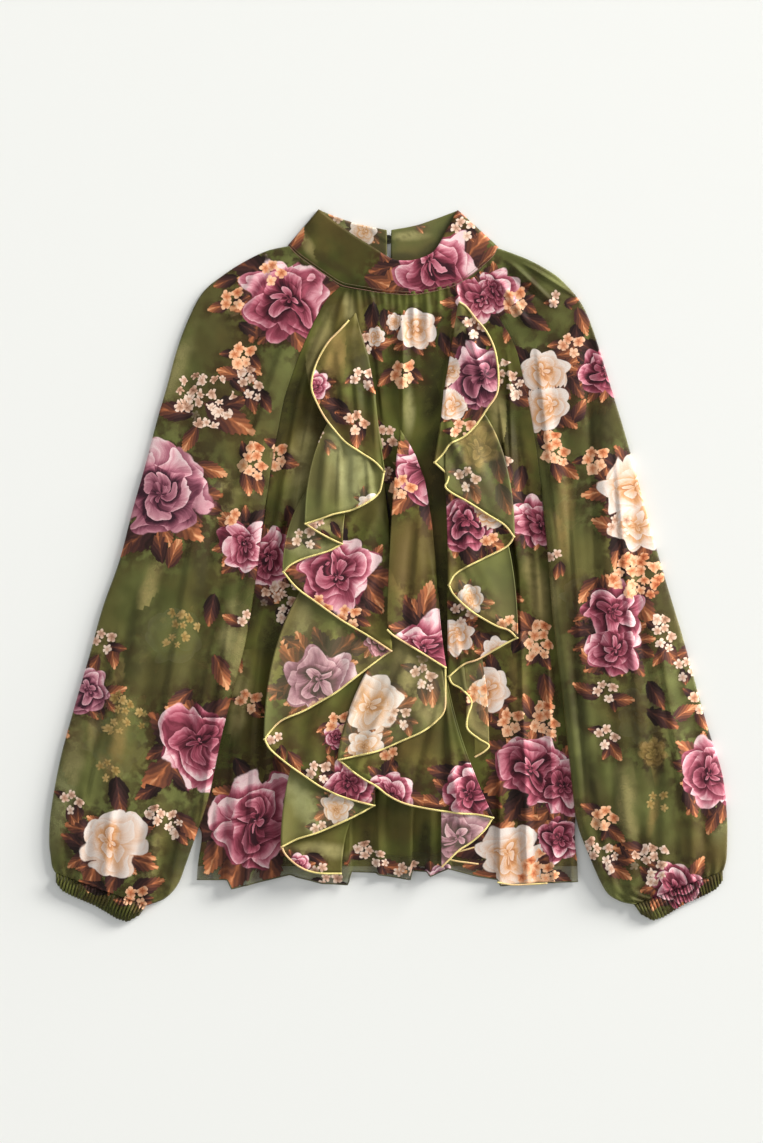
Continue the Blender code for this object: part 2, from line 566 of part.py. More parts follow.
def make_button():
    x, y = to_world((*BUTTON_AT, 0.0))[:2]
    bpy.ops.mesh.primitive_cylinder_add(vertices=24, radius=BUTTON_RADIUS / 1000, depth=BUTTON_THICK / 1000,
                                        location=(x, y, BUTTON_THICK / 2000))
    button = bpy.context.object
    button.name = button.data.name = "button"
    button.data.materials.append(make_material("shell"))
    for linked in list(button.users_collection):
        linked.objects.unlink(button)
    collection.objects.link(button)
    bpy.ops.mesh.primitive_cylinder_add(vertices=12, radius=STEM_RADIUS / 1000, depth=STEM_TOP / 1000,
                                        location=(x, y, STEM_TOP / 2000))
    stem = bpy.context.object
    stem.name = "button_stem_cutter"
    stem.hide_render = True
    stem.display_type = "WIRE"
    for linked in list(stem.users_collection):
        linked.objects.unlink(stem)
    cutters.objects.link(stem)
    join = button.modifiers.new("stem", "BOOLEAN")
    join.operation = "UNION"
    join.object = stem


def make_button_loop():
    """A closed loop of thread under the collar's right end, round the button's stem."""
    radius = STEM_RADIUS + LOOP_THREAD + LOOP_CLEAR
    height = BUTTON_THICK + LOOP_THREAD + GAP
    centres = [(BUTTON_AT[0], angle) for angle in np.linspace(-pi / 2, -3 * pi / 2, 9)]
    centres += [(LOOP_END_X, angle) for angle in np.linspace(pi / 2, -pi / 2, 9)]
    path = [(x + radius * cos(a), BUTTON_AT[1] - radius * sin(a), height) for x, a in centres]
    curve = bpy.data.curves.new("button_loop", "CURVE")
    curve.dimensions = "3D"
    curve.bevel_depth = LOOP_THREAD / 1000
    curve.bevel_resolution = 1
    line = curve.splines.new("POLY")
    line.use_cyclic_u = True
    line.points.add(len(path) - 1)
    for point, place in zip(line.points, to_world(path)):
        point.co = (*place, 1.0)
    add_object("button_loop", curve, "print")


for old in list(bpy.data.objects):
    bpy.data.objects.remove(old, do_unlink=True)
collection = bpy.data.collections.new(NAME)
cutters = bpy.data.collections.new(NAME + "_cutters")
bpy.context.scene.collection.children.link(collection)
bpy.context.scene.collection.children.link(cutters)

make_back_panel()
make_lining()
make_front_panel()
make_sleeve("sleeve_left", LEFT_SLEEVE, flip=False)
make_sleeve("sleeve_right", RIGHT_SLEEVE, flip=True)
make_cuff("cuff_left", LEFT_SLEEVE, inward=1)
make_cuff("cuff_right", RIGHT_SLEEVE, inward=-1)
make_collar()
make_ruffle("ruffle_left", LEFT_RUFFLE, LEFT_ROOTS, outward=-1)
make_ruffle("ruffle_centre", CENTRE_RUFFLE, CENTRE_ROOTS, outward=-1, curl=CENTRE_CURL, lift=CENTRE_LIFT)
make_ruffle("ruffle_right", RIGHT_RUFFLE, RIGHT_ROOTS, outward=1)
make_button()
make_button_loop()
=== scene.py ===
"""Floral chiffon blouse with cascading ruffles, laid flat on a pale table and seen from above."""
from collections import namedtuple

import bpy
import numpy as np
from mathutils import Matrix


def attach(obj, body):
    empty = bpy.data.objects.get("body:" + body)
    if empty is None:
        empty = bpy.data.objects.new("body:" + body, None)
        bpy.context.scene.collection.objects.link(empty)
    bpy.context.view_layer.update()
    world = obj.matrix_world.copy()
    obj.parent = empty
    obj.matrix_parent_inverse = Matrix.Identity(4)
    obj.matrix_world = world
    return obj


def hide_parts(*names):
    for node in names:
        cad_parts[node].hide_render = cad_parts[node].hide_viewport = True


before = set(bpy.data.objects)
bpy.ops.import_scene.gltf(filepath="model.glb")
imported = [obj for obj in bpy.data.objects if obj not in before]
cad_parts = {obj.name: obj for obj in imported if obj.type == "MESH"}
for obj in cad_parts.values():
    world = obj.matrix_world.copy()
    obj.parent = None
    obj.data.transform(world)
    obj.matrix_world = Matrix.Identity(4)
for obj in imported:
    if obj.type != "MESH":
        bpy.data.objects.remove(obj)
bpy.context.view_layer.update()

# ---- Table, light and camera -------------------------------------------------------------------
# The blouse lies face up on a matt off-white table. Two broad soft lamps stand far to its upper right, one
# high and one low, and a weak one to its left. The camera hangs straight above it on a long lens.
FRAME_HEIGHT = 1.143  # of the table that the camera sees
FRAME_CENTRE = (-0.0066, -0.0063)
CAMERA_HEIGHT, SENSOR = 3.2, 24
WARM_WHITE = (1.0, 0.985, 0.955)


def put(name, data):
    """A new object in the scene, for a mesh, a lamp or a camera."""
    thing = bpy.data.objects.new(name, data)
    bpy.context.scene.collection.objects.link(thing)
    return thing


def new_material(name):
    """A new material and the sockets of its surface shader."""
    material = bpy.data.materials.new(name)
    material.use_nodes = True
    return material, material.node_tree.nodes["Principled BSDF"].inputs


table_mesh = bpy.data.meshes.new("table")
table_mesh.from_pydata([(-6, -6, 0), (6, -6, 0), (6, 6, 0), (-6, 6, 0)], [], [(0, 1, 2, 3)])
table = put("table", table_mesh)
matt, finish = new_material("table_paint")
finish["Base Color"].default_value = (0.86, 0.865, 0.835, 1)
finish["Roughness"].default_value = 0.9
table_mesh.materials.append(matt)


def add_lamp(name, place, size, power, colour):
    """A square soft lamp that looks at the blouse's middle."""
    lamp = bpy.data.lights.new(name, "AREA")
    lamp.shape = "SQUARE"
    lamp.size, lamp.energy, lamp.color = size, power, colour
    holder = put(name, lamp)
    holder.location = place
    toward = -np.array(place, float)
    tilt = np.arccos(-toward[2] / np.linalg.norm(toward))
    holder.rotation_euler = (tilt, 0, np.arctan2(-toward[0], toward[1]))


add_lamp("key_lamp", (13.0, 11.2, 6.6), 6.0, 3650, WARM_WHITE)
add_lamp("low_lamp", (14.8, 7.0, 2.5), 5.0, 3500, WARM_WHITE)
add_lamp("fill_lamp", (-3.6, -1.6, 3.6), 4.0, 42, (0.95, 0.98, 1.0))

world = bpy.data.worlds.new("studio")
world.use_nodes = True
world.node_tree.nodes["Background"].inputs["Color"].default_value = (0.98, 0.99, 1.0, 1)
world.node_tree.nodes["Background"].inputs["Strength"].default_value = 0.42
bpy.context.scene.world = world
bpy.context.scene.view_settings.view_transform = "Standard"

camera_data = bpy.data.cameras.new("camera")
camera_data.sensor_fit = "VERTICAL"
camera_data.sensor_height = SENSOR
camera_data.lens = SENSOR * CAMERA_HEIGHT / FRAME_HEIGHT
camera = put("camera", camera_data)
camera.location = (*FRAME_CENTRE, CAMERA_HEIGHT)
bpy.context.scene.camera = camera


# ---- Back panel --------------------------------------------------------------------------------
# One layer of printed chiffon, cut to the raglan seams and the side seams, with a slit below the neck.
# It lies flat on the table, so its only relief is a few shallow creases on the side that faces up.
# Every piece is worked out on a cutting board in millimetres, x to the right and y towards the hem.
BOARD_CENTRE = (388.11, 565.2)
CLOTH = 0.5  # thickness of the chiffon as drawn
FLOOR_LAYER, LINING_LAYER, FRONT_LAYER = 0.35, 2.1, 3.6
UNDERARM, LAST_COVERED = 9, 15.5  # sections where a sleeve closes, and where it leaves the body
SIDE_UNDERLAP, SEAM = 3.0, 0.35  # of the body under a sleeve
BACK_NECK_RISE, BACK_RISE_SECTIONS = 22.0, 6.0
BACK_HEM, LINING_HEM = 866.0, 857.0
BACK_SAG, FRONT_SAG, SAG_REACH = 3.9, 9.75, 0.55  # dip of the neck, and the share of the length it fades in
SLIT_X, SLIT_WIDTH, SLIT_ROWS = 388.9, 3.0, 14
BACK_RELIEF, BACK_FLAT, FLAT_FADE = 0.3, (215, 560), 20  # its creases are flat outside these two places
BACK_COLUMNS, BODY_ROWS = 24, 90  # of half the back, and of the back and the lining

# A sleeve section runs from its inner edge (raglan seam, then underarm fold) to its outer fold. Its row
# gives x and y of the inner and then of the outer edge, and how high the upper wall puffs up.
LEFT_SLEEVE = np.array([
    (340, 287, 289, 246.5, 0), (329, 297, 268, 251, 1), (319, 312, 245.5, 261.5, 2),
    (309, 332, 222, 276.5, 2), (300, 353, 202.5, 293.5, 2), (292, 375, 188, 321, 2), (284, 400, 177, 351, 2),
    (278, 430, 167.5, 386, 2), (272.5, 457, 157, 422, 3), (267, 497, 146, 464, 3), (262, 530, 133, 510, 3),
    (255.5, 583, 120, 560, 4), (246, 640, 103, 608, 4), (235, 684, 90, 655, 4), (222, 735, 76, 703, 5),
    (208.5, 798, 61, 758, 6), (195, 838, 51.5, 810, 7), (187, 861, 49.6, 840, 6), (178, 884, 51, 856, 4),
    (165, 898, 52.5, 866, 2), (147, 905, 55.5, 872, 0),
])
RIGHT_SLEEVE = np.array([
    (474, 277, 497.5, 248.5, 0), (487, 296, 513, 254, 1), (499, 318, 530, 261, 2), (509, 334, 545, 269, 2),
    (517, 352, 560, 279.5, 2), (522, 372, 578.5, 300, 2), (527, 394, 590, 323, 2), (532, 420, 600, 353, 2),
    (537, 452, 614, 399, 3), (541, 486, 625.5, 437, 3), (545.6, 532, 640, 490, 3), (548.5, 565, 652, 535, 3),
    (552.5, 617.5, 668.5, 591.5, 4), (559.4, 675, 684, 643, 4), (565.7, 730, 697.5, 693, 5),
    (570.5, 772, 709, 733, 6), (576, 818, 722, 775, 7), (586, 848, 726.6, 817, 6), (604, 888, 726.6, 850, 4),
    (618, 900, 725.5, 862, 2), (633, 904, 723, 870, 0),
])
BODY_SIDES = np.array([(202, 574.5, 836), (198.5, 577, 862), (197, 577.8, 881)])  # left x, right x and y


def spline(rows, at):
    """A Catmull-Rom curve through the rows of a table, read at fractional row numbers."""
    rows = np.asarray(rows, float)
    at = np.clip(np.atleast_1d(np.asarray(at, float)), 0, len(rows) - 1)
    i = np.minimum(at.astype(int), len(rows) - 2)
    t = (at - i)[:, None]
    p0, p1 = rows[np.maximum(i - 1, 0)], rows[i]
    p2, p3 = rows[i + 1], rows[np.minimum(i + 2, len(rows) - 1)]
    return p1 + 0.5 * t * ((p2 - p0) + t * ((2 * p0 - 5 * p1 + 4 * p2 - p3) + t * (3 * (p1 - p2) + p3 - p0)))


def smooth(t):
    """0 to 1 with flat ends: 3 t squared minus 2 t cubed."""
    t = np.clip(t, 0.0, 1.0)
    return t * t * (3 - 2 * t)


# A crease is a soft trough from a start to an end, bowed sideways in the middle; a ridge if negative.
Crease = namedtuple("Crease", "x y to_x to_y bow width depth")


def creases(x, y, rows):
    """Sum of the troughs: minus depth times a bell across the crease times a half sine along it."""
    total = np.zeros(np.broadcast(x, y).shape)
    for c in map(Crease._make, rows):
        run = np.array([c.to_x - c.x, c.to_y - c.y], float)
        length = np.hypot(*run)
        run /= length
        t = np.clip(((x - c.x) * run[0] + (y - c.y) * run[1]) / length, 0, 1)
        off = (x - c.x) * -run[1] + (y - c.y) * run[0] - c.bow * np.sin(np.pi * t)
        total -= c.depth * np.exp(-((off / c.width) ** 2)) * np.sin(np.pi * np.clip(t, 0.001, 1)) ** 0.6
    return total


def body_sides(back):
    """The body's left and right edges at the table's rows, two rows to a section above the underarm."""
    at = np.concatenate([np.arange(0, UNDERARM, 0.5), np.arange(UNDERARM, LAST_COVERED), [LAST_COVERED]])
    sides = []
    for sleeve, inward in ((LEFT_SLEEVE, 1), (RIGHT_SLEEVE, -1)):
        p = spline(sleeve[:, :2], at)
        if back:
            p[:, 1] -= BACK_NECK_RISE * np.clip(1 - at / BACK_RISE_SECTIONS, 0, 1) ** 2
        away = p - spline(sleeve[:, 2:4], at)
        away /= np.linalg.norm(away, axis=1)[:, None]
        under = smooth(at - UNDERARM - 1)
        p += away * (SEAM * (1 - under))[:, None]
        p[:, 0] -= inward * SIDE_UNDERLAP * under
        sides.append(p)
    return np.vstack([sides[0], BODY_SIDES[:, [0, 2]]]), np.vstack([sides[1], BODY_SIDES[:, 1:]])


def body_plan(across, rows, back):
    """x and y of the body: straight lines between its sides, dipping in the middle near the neck."""
    left, right = body_sides(back)
    at = np.linspace(0, len(left) - 1, rows)
    left, right = spline(left, at), spline(right, at)
    t = np.asarray(across, float)
    x = left[:, :1] + (right[:, :1] - left[:, :1]) * t
    y = left[:, 1:] + (right[:, 1:] - left[:, 1:]) * t
    sag = (BACK_SAG if back else FRONT_SAG) * 4 * t * (1 - t)
    y = y + sag * np.clip(1 - np.linspace(0, 1, rows)[:, None] / SAG_REACH, 0, 1) ** 2
    return x, y, at


# The print: full roses and peonies, fans of leaves and sprays of small blossoms. Soft washes are laid the
# same way:
# painted shade, painted highlight, and tan where a layer below shows through.
# A motif's row gives x, y, its size (half its width), its turn in degrees, and a tone for its colours.
SHOWS_THROUGH = 2  # tone of a motif on the layer below
LEAF_WIDTH = 0.5  # of a leaf's length
STRETCH = {"leaf": (1.0, LEAF_WIDTH), "wash": (1.9, 0.5), "bloom": (1.12, 1.12), "spray": (1.0, 1.0)}
FAN_TURN, LEAF_TURN = 150, 27  # degrees from one fan to the other, and from leaf to leaf
PATCH_STEP = 1000.0


def with_leaves(motifs):
    """Adds ten leaves behind each bloom and three behind each spray, in two fans on either side of it.

    Their reach, sizes, turns and tones follow sines of their numbers. A motif that shows through from
    the layer below has none.
    """
    leaves = [np.array(motifs["leaf"], float)]
    for kind, count, share in (("bloom", 10, 0.66), ("spray", 3, 0.8)):
        hearts = np.array(motifs[kind], float)
        x, y, size, turn, _ = hearts[hearts[:, 4] < SHOWS_THROUGH].T[..., None]
        number = np.arange(float(count))[None]
        turn = turn + FAN_TURN * (number % 2) + LEAF_TURN * (number // 2 - count // 4)
        reach = size * (1.0 + 0.22 * np.sin(2.7 * number + x))
        rows = (x + reach * np.cos(np.radians(turn)), y + reach * np.sin(np.radians(turn)),
                size * (share + 0.2 * np.sin(1.9 * number + x)), turn + 30 * np.sin(4.1 * number + y),
                0.37 + 0.4 * np.sin(2.3 * number + x))
        leaves.append(np.stack(rows, -1).reshape(-1, 5))
    return {**motifs, "leaf": np.vstack(leaves)}


def set_print(mesh, corners, motifs):
    """Gives each face the nearest motif of each kind, and each of its corners its place on that motif.

    Place = (corner - centre) turned by minus the motif's turn and divided by its size. With it go the
    motif's tone and its size in centimetres.
    """
    for kind, rows in with_leaves(motifs).items():
        rows = np.array(rows, float)
        cosine, sine = np.cos(np.radians(rows[:, 3])), np.sin(np.radians(rows[:, 3]))

        def local(offset, pick):
            turned = np.stack([offset[..., 0] * cosine[pick] + offset[..., 1] * sine[pick],
                               offset[..., 1] * cosine[pick] - offset[..., 0] * sine[pick]], -1)
            return turned / (rows[pick, 2][..., None] * STRETCH[kind])

        everyone = np.broadcast_to(np.arange(len(rows)), (len(corners), len(rows)))
        reach = local(corners.mean(1)[:, None] - rows[None, :, :2], everyone)
        nearest = np.argmin((reach ** 2).sum(-1), axis=1)
        nearest = np.repeat(nearest[:, None], 4, axis=1)
        place = local(corners - rows[nearest, :2], nearest)
        values = np.concatenate([place, rows[nearest, 4:5], rows[nearest, 2:3] / 10], -1)
        layer = mesh.attributes.new(kind, "FLOAT_COLOR", "CORNER")
        layer.data.foreach_set("color", values.astype(np.float32).ravel())


def lay(name, mesh, materials):
    """Puts a finished mesh in the scene as a piece of the blouse, which is one body."""
    for material in materials:
        mesh.materials.append(material)
    mesh.shade_smooth()
    piece = put(name, mesh)
    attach(piece, "root")
    return piece


def board_points(x, y, z):
    """Board places as a list of points of the blouse in metres."""
    return (np.stack([x - BOARD_CENTRE[0], BOARD_CENTRE[1] - y, z], -1).reshape(-1, 3) / 1000).tolist()


def quad_corners(grid):
    """The four corners of each face of a grid, its rows going down."""
    return grid[:-1, :-1], grid[1:, :-1], grid[1:, 1:], grid[:-1, 1:]


def add_cloth(name, x, y, z, motifs, materials, slot, cloth=None, flip=False, keep=None, closed_from=None,
              patch=None):
    """A grid of board points as a thin shell, with the print laid on it by its cloth coordinates.

    Rows are the first index. The cloth coordinates are x and y where none are given. Where closed_from is
    given, later rows close round from last to first. keep picks the faces that stay. A row of faces with
    a patch number takes its print from a place a metre further on for each number.
    """
    x, y, z = np.broadcast_arrays(x, y, z)
    cloth = np.stack([x, y], -1) if cloth is None else cloth
    number = np.arange(x.size).reshape(x.shape)
    if closed_from is not None:
        number[closed_from:, -1] = number[closed_from:, 0]
    quads, corners = np.stack(quad_corners(number), -1), np.stack(quad_corners(cloth), -2)
    if patch is not None:
        corners[..., 0] += PATCH_STEP * np.asarray(patch)[:, None, None]
    keep = np.ones(quads.shape[:2], bool) if keep is None else keep
    quads, corners = quads[keep], corners[keep]
    if flip:
        quads, corners = quads[:, ::-1], corners[:, ::-1]
    mesh = bpy.data.meshes.new(name)
    mesh.from_pydata(board_points(x, y, z), [], quads.tolist())
    uv = mesh.uv_layers.new(name="cloth")
    uv.data.foreach_set("uv", (corners / 1000).astype(np.float32).ravel())
    if motifs:
        set_print(mesh, corners, motifs)
    piece = lay(name, mesh, materials)
    shell = piece.modifiers.new("shell", "SOLIDIFY")
    shell.thickness, shell.offset = CLOTH / 1000, 0.0
    shell.material_offset = len(materials) - 1
    return piece


def ink(code, alpha=1.0):
    """A colour written as six hex digits, as linear red, green, blue and alpha."""
    c = np.array([int(code[i:i + 2], 16) for i in (1, 3, 5)]) / 255
    return (*np.where(c <= 0.04045, c / 12.92, ((c + 0.055) / 1.055) ** 2.4), alpha)


class Shade:
    """A socket of a material's nodes. Arithmetic on it adds Math nodes, and node() adds any other."""

    def __init__(self, tree, socket=None):
        self.tree, self.socket = tree, socket

    def node(self, kind, settings=None, inputs=None, output=0):
        """Adds a node: its settings first, then the value or link of each named or numbered socket."""
        made = self.tree.nodes.new("ShaderNode" + kind)
        for name, value in (settings or {}).items():
            if name == "stops":
                ramp = made.color_ramp
                while len(ramp.elements) < len(value):
                    ramp.elements.new(0.5)
                for element, (place, colour) in zip(ramp.elements, value):
                    element.position, element.color = place, colour
            else:
                setattr(made, name, value)
        for key, value in (inputs or {}).items():
            if isinstance(value, Shade):
                self.tree.links.new(value.socket, made.inputs[key])
            else:
                made.inputs[key].default_value = value
        return Shade(self.tree, made.outputs[output])

    def other(self, output):
        """Another output of the node that this one comes from."""
        return Shade(self.tree, self.socket.node.outputs[output])

    def maths(self, operation, *values):
        return self.node("Math", {"operation": operation}, dict(enumerate(values)))

    def vector(self, operation, *values, output=0):
        return self.node("VectorMath", {"operation": operation}, dict(enumerate(values)), output)

    def sine(self):
        return self.maths("SINE", self)

    def length(self):
        return self.vector("LENGTH", self, output="Value")

    def part(self, axis):
        return self.node("SeparateXYZ", None, {0: self}, axis)

    def polar(self):
        """x, y, distance from the middle and angle of a place on a motif."""
        x, y = self.part("X"), self.part("Y")
        return x, y, self.maths("SQRT", x * x + y * y), self.maths("ARCTAN2", y, x)

    def noise(self, scale, detail, dimensions="2D"):
        """Cloudy noise at this place."""
        return self.node("TexNoise", {"noise_dimensions": dimensions},
                         {"Vector": self, "Scale": scale, "Detail": detail})

    def sway(self, x, y):
        """A noise's colour as a shift about zero, x and y wide."""
        away = self.vector("SUBTRACT", self.other("Color"), (0.5, 0.5, 0.5))
        return self.vector("MULTIPLY", away, (x, y, 0.0))

    def into(self, socket):
        """Links this value or colour to a socket of the surface shader."""
        self.tree.links.new(self.socket, socket)

    def step(self, low, high, a=0.0, b=1.0):
        """Rises smoothly from a to b as the value goes from low to high."""
        return self.node("MapRange", {"interpolation_type": "SMOOTHSTEP"},
                         {0: self, 1: low, 2: high, 3: a, 4: b})

    def ramp(self, *stops):
        return self.node("ValToRGB", {"stops": stops}, {0: self})

    def mix(self, a, b):
        """Colour a where this value is 0 and b where it is 1."""
        return self.node("Mix", {"data_type": "RGBA"}, {0: self, 6: a, 7: b}, 2)

    def __add__(self, other):
        return self.maths("ADD", self, other)

    def __sub__(self, other):
        return self.maths("SUBTRACT", self, other)

    def __rsub__(self, other):
        return self.maths("SUBTRACT", other, self)

    def __mul__(self, other):
        return self.maths("MULTIPLY", self, other)

    def __truediv__(self, other):
        return self.maths("DIVIDE", self, other)

    def __pow__(self, other):
        return self.maths("POWER", self, other)

    __radd__, __rmul__ = __add__, __mul__


def shades(*stops):
    """The stops of a colour ramp, from places and six-digit colours in turn."""
    return [(place, ink(code)) for place, code in zip(stops[::2], stops[1::2])]


ROSE = shades(0, "#33101a", 0.25, "#6b2836", 0.5, "#9f495b", 0.72, "#cd7f8d", 0.88, "#e6adb4", 1, "#f4d2d2")
MAUVE = shades(0, "#3a1f2e", 0.25, "#774658", 0.5, "#ad7787", 0.75, "#d6a5ad", 1, "#f0d2d4")
PEONY = shades(0, "#6e4128", 0.2, "#b3764a", 0.42, "#d8a070", 0.7, "#e2c2ab", 1, "#eadcd2")
ORANGE = shades(0, "#66240f", 0.3, "#b55c34", 0.65, "#e39466", 1, "#f8c39b")
PALE = shades(0, "#593625", 0.3, "#9d6f55", 0.65, "#d6a98f", 1, "#f3d8c4")
GHOST = shades(0.1, "#6b5428", 0.5, "#977a42", 0.95, "#b89a62")  # print of the layer below
LEAF = shades(0, "#21130f", 0.3, "#432724", 0.55, "#73432f", 0.8, "#ba6f46", 1, "#ecab7b")
# The pucker colour is painted shade for the valleys of a casing's puckers.
CLOUD_BROWN, WARM_OLIVE, FADED_GROUND, PAINTED_PUCKER_SHADE = "#4b3517", "#7a6332", "#b5b47e", "#1f1a0c"
# The dark and light washes are painted shade and painted highlight. The tan wash is the layer below showing
# through.
PAINTED_SHADE, WASH_TAN, PAINTED_HIGHLIGHT = "#2a240c", "#a2864e", "#a9a872"
BLOOM_SHADE, LEAF_SHADE = "#372412", "#40290f"  # of the ground round a bloom and round a leaf
GHOST_TONES = (1.4, 1.5)
TURN = 6.2832  # radians
LAYERS, LAYER_BULGE = 2.5, 0.7  # of a bloom's petals to its radius, and how far each reaches over the next
BLOSSOMS, MIDDLE_SPREAD = 1.05, 0.92  # to a centimetre, and how unevenly they stand
FLOWER_ALPHA = 0.94


def draw_bloom(spot, tone, wander):
    """A full flower: a spiral of petals, each turned against the last, dark where they tuck in.

    Layer number = floor(2.5 r + turns of the angle, less 0.7 of the petal's bulge), the bulge being the
    sine of twice the angle. Each petal has its own lightness, from a sine of its number and layer, and
    rises from a soft dark base to a light lip. Fine streaks run out from the dark heart.
    """
    place = spot.vector("ADD", spot, wander)
    x, y, r, angle = place.polar()
    out = r ** 0.9 * LAYERS + angle / TURN + 4.0
    phase = angle * 2.0 + place.maths("FLOOR", out) * 2.1 + tone * 6.0
    layered = out - place.maths("ABSOLUTE", phase.sine()) * LAYER_BULGE
    number, layer = place.maths("FLOOR", phase / (TURN / 2)), place.maths("FLOOR", layered)
    depth = place.maths("FRACT", layered)
    own = (number * 5.3 + layer * 3.1 + tone * 40.0).sine()
    fan = place.node("CombineXYZ", None, {0: angle * 5.0, 1: r * 2.0, 2: tone * 9.0})
    streak = fan.noise(1.7, 3.0, "3D")
    rise = depth.step(0.0, 0.85, 0.0, 0.5) + depth.step(0.82, 1.0, 0.0, 0.12)
    light = rise + own * 0.12 + r * 0.56 - (x * 0.1 + y * 0.14) + (streak - 0.5) * 0.6 - 0.12
    light = light + (tone * 40.0).sine() * 0.05
    cream = (light * 0.6 + r * 0.32 + 0.22).ramp(*PEONY)
    colour = tone.step(0.15, 0.45).mix(light.ramp(*ROSE), light.ramp(*MAUVE))
    colour = tone.step(0.65, 0.75).mix(colour, cream)
    ghost = tone.step(*GHOST_TONES)
    rim = place.maths("ABSOLUTE", (angle * 3.5 + tone * 6.0).sine()) * 0.2 + 0.85
    return ghost.mix(colour, light.ramp(*GHOST)), (rim - r).step(0.0, 0.04 + 0.3 * ghost) * (1 - 0.3 * ghost)


def draw_spray(spot, tone, size, wander):
    """Small blossoms a centimetre across, of five petals round a dark heart, one to a Voronoi cell.

    The cells whose middles lie within the spray's size are used, apart from one in seven, or three in ten
    of the pale ones.
    """
    spread = size * BLOSSOMS
    place = spot.vector("MULTIPLY", spot.vector("ADD", spot, wander),
                        spot.node("CombineXYZ", None, {0: spread, 1: spread, 2: 0.0}))
    cell = place.node("TexVoronoi", {"voronoi_dimensions": "2D"},
                      {"Vector": place, "Scale": 1.0, "Randomness": MIDDLE_SPREAD}, "Position")
    chance = cell.node("SeparateColor", None, {0: cell.other("Color")})
    x, y, r, angle = place.vector("SUBTRACT", place, cell).polar()
    petal = place.maths("ABSOLUTE", (angle * 2.5 + chance * 6.0).sine())
    reach = 0.54 + 0.3 * petal ** 0.7 - 0.24 * chance.other("Green") - 0.13 * tone
    within = (spread - 0.15 - cell.length()).step(0.0, 0.05)
    present = (chance - 0.16 * tone.maths("MINIMUM", tone, 1.0)).step(0.13, 0.15)
    light = r * 1.3 + petal * 0.2 + chance.other("Blue") * 0.5 - x * 0.25 - 0.04
    ghost = tone.step(*GHOST_TONES)
    colour = ghost.mix(tone.step(0.2, 0.8).mix(light.ramp(*ORANGE), light.ramp(*PALE)), light.ramp(*GHOST))
    return colour, (reach + 0.12 * ghost - r).step(0.0, 0.06 + 0.2 * ghost) * within * present


def draw_leaf(spot, tone, wander):
    """A pointed leaf, half width = 1 - x squared, with a light rib and slanted veins."""
    place = spot.vector("ADD", spot, wander)
    x, side = place.part("X"), place.maths("ABSOLUTE", place.part("Y"))
    veins = ((side * 1.2 - x) * 16.0).sine()
    light = tone * 0.5 + 0.27 + 0.055 * veins + 0.36 * x - 0.36 * side + side.step(0.0, 0.14, 0.16, 0.0)
    outline = (1 - x * x) * (0.95 - 0.25 * x) + 0.06 * veins
    return light.ramp(*LEAF), (outline - side).step(0.0, 0.08) * (1 - x * x).step(0.0, 0.02)


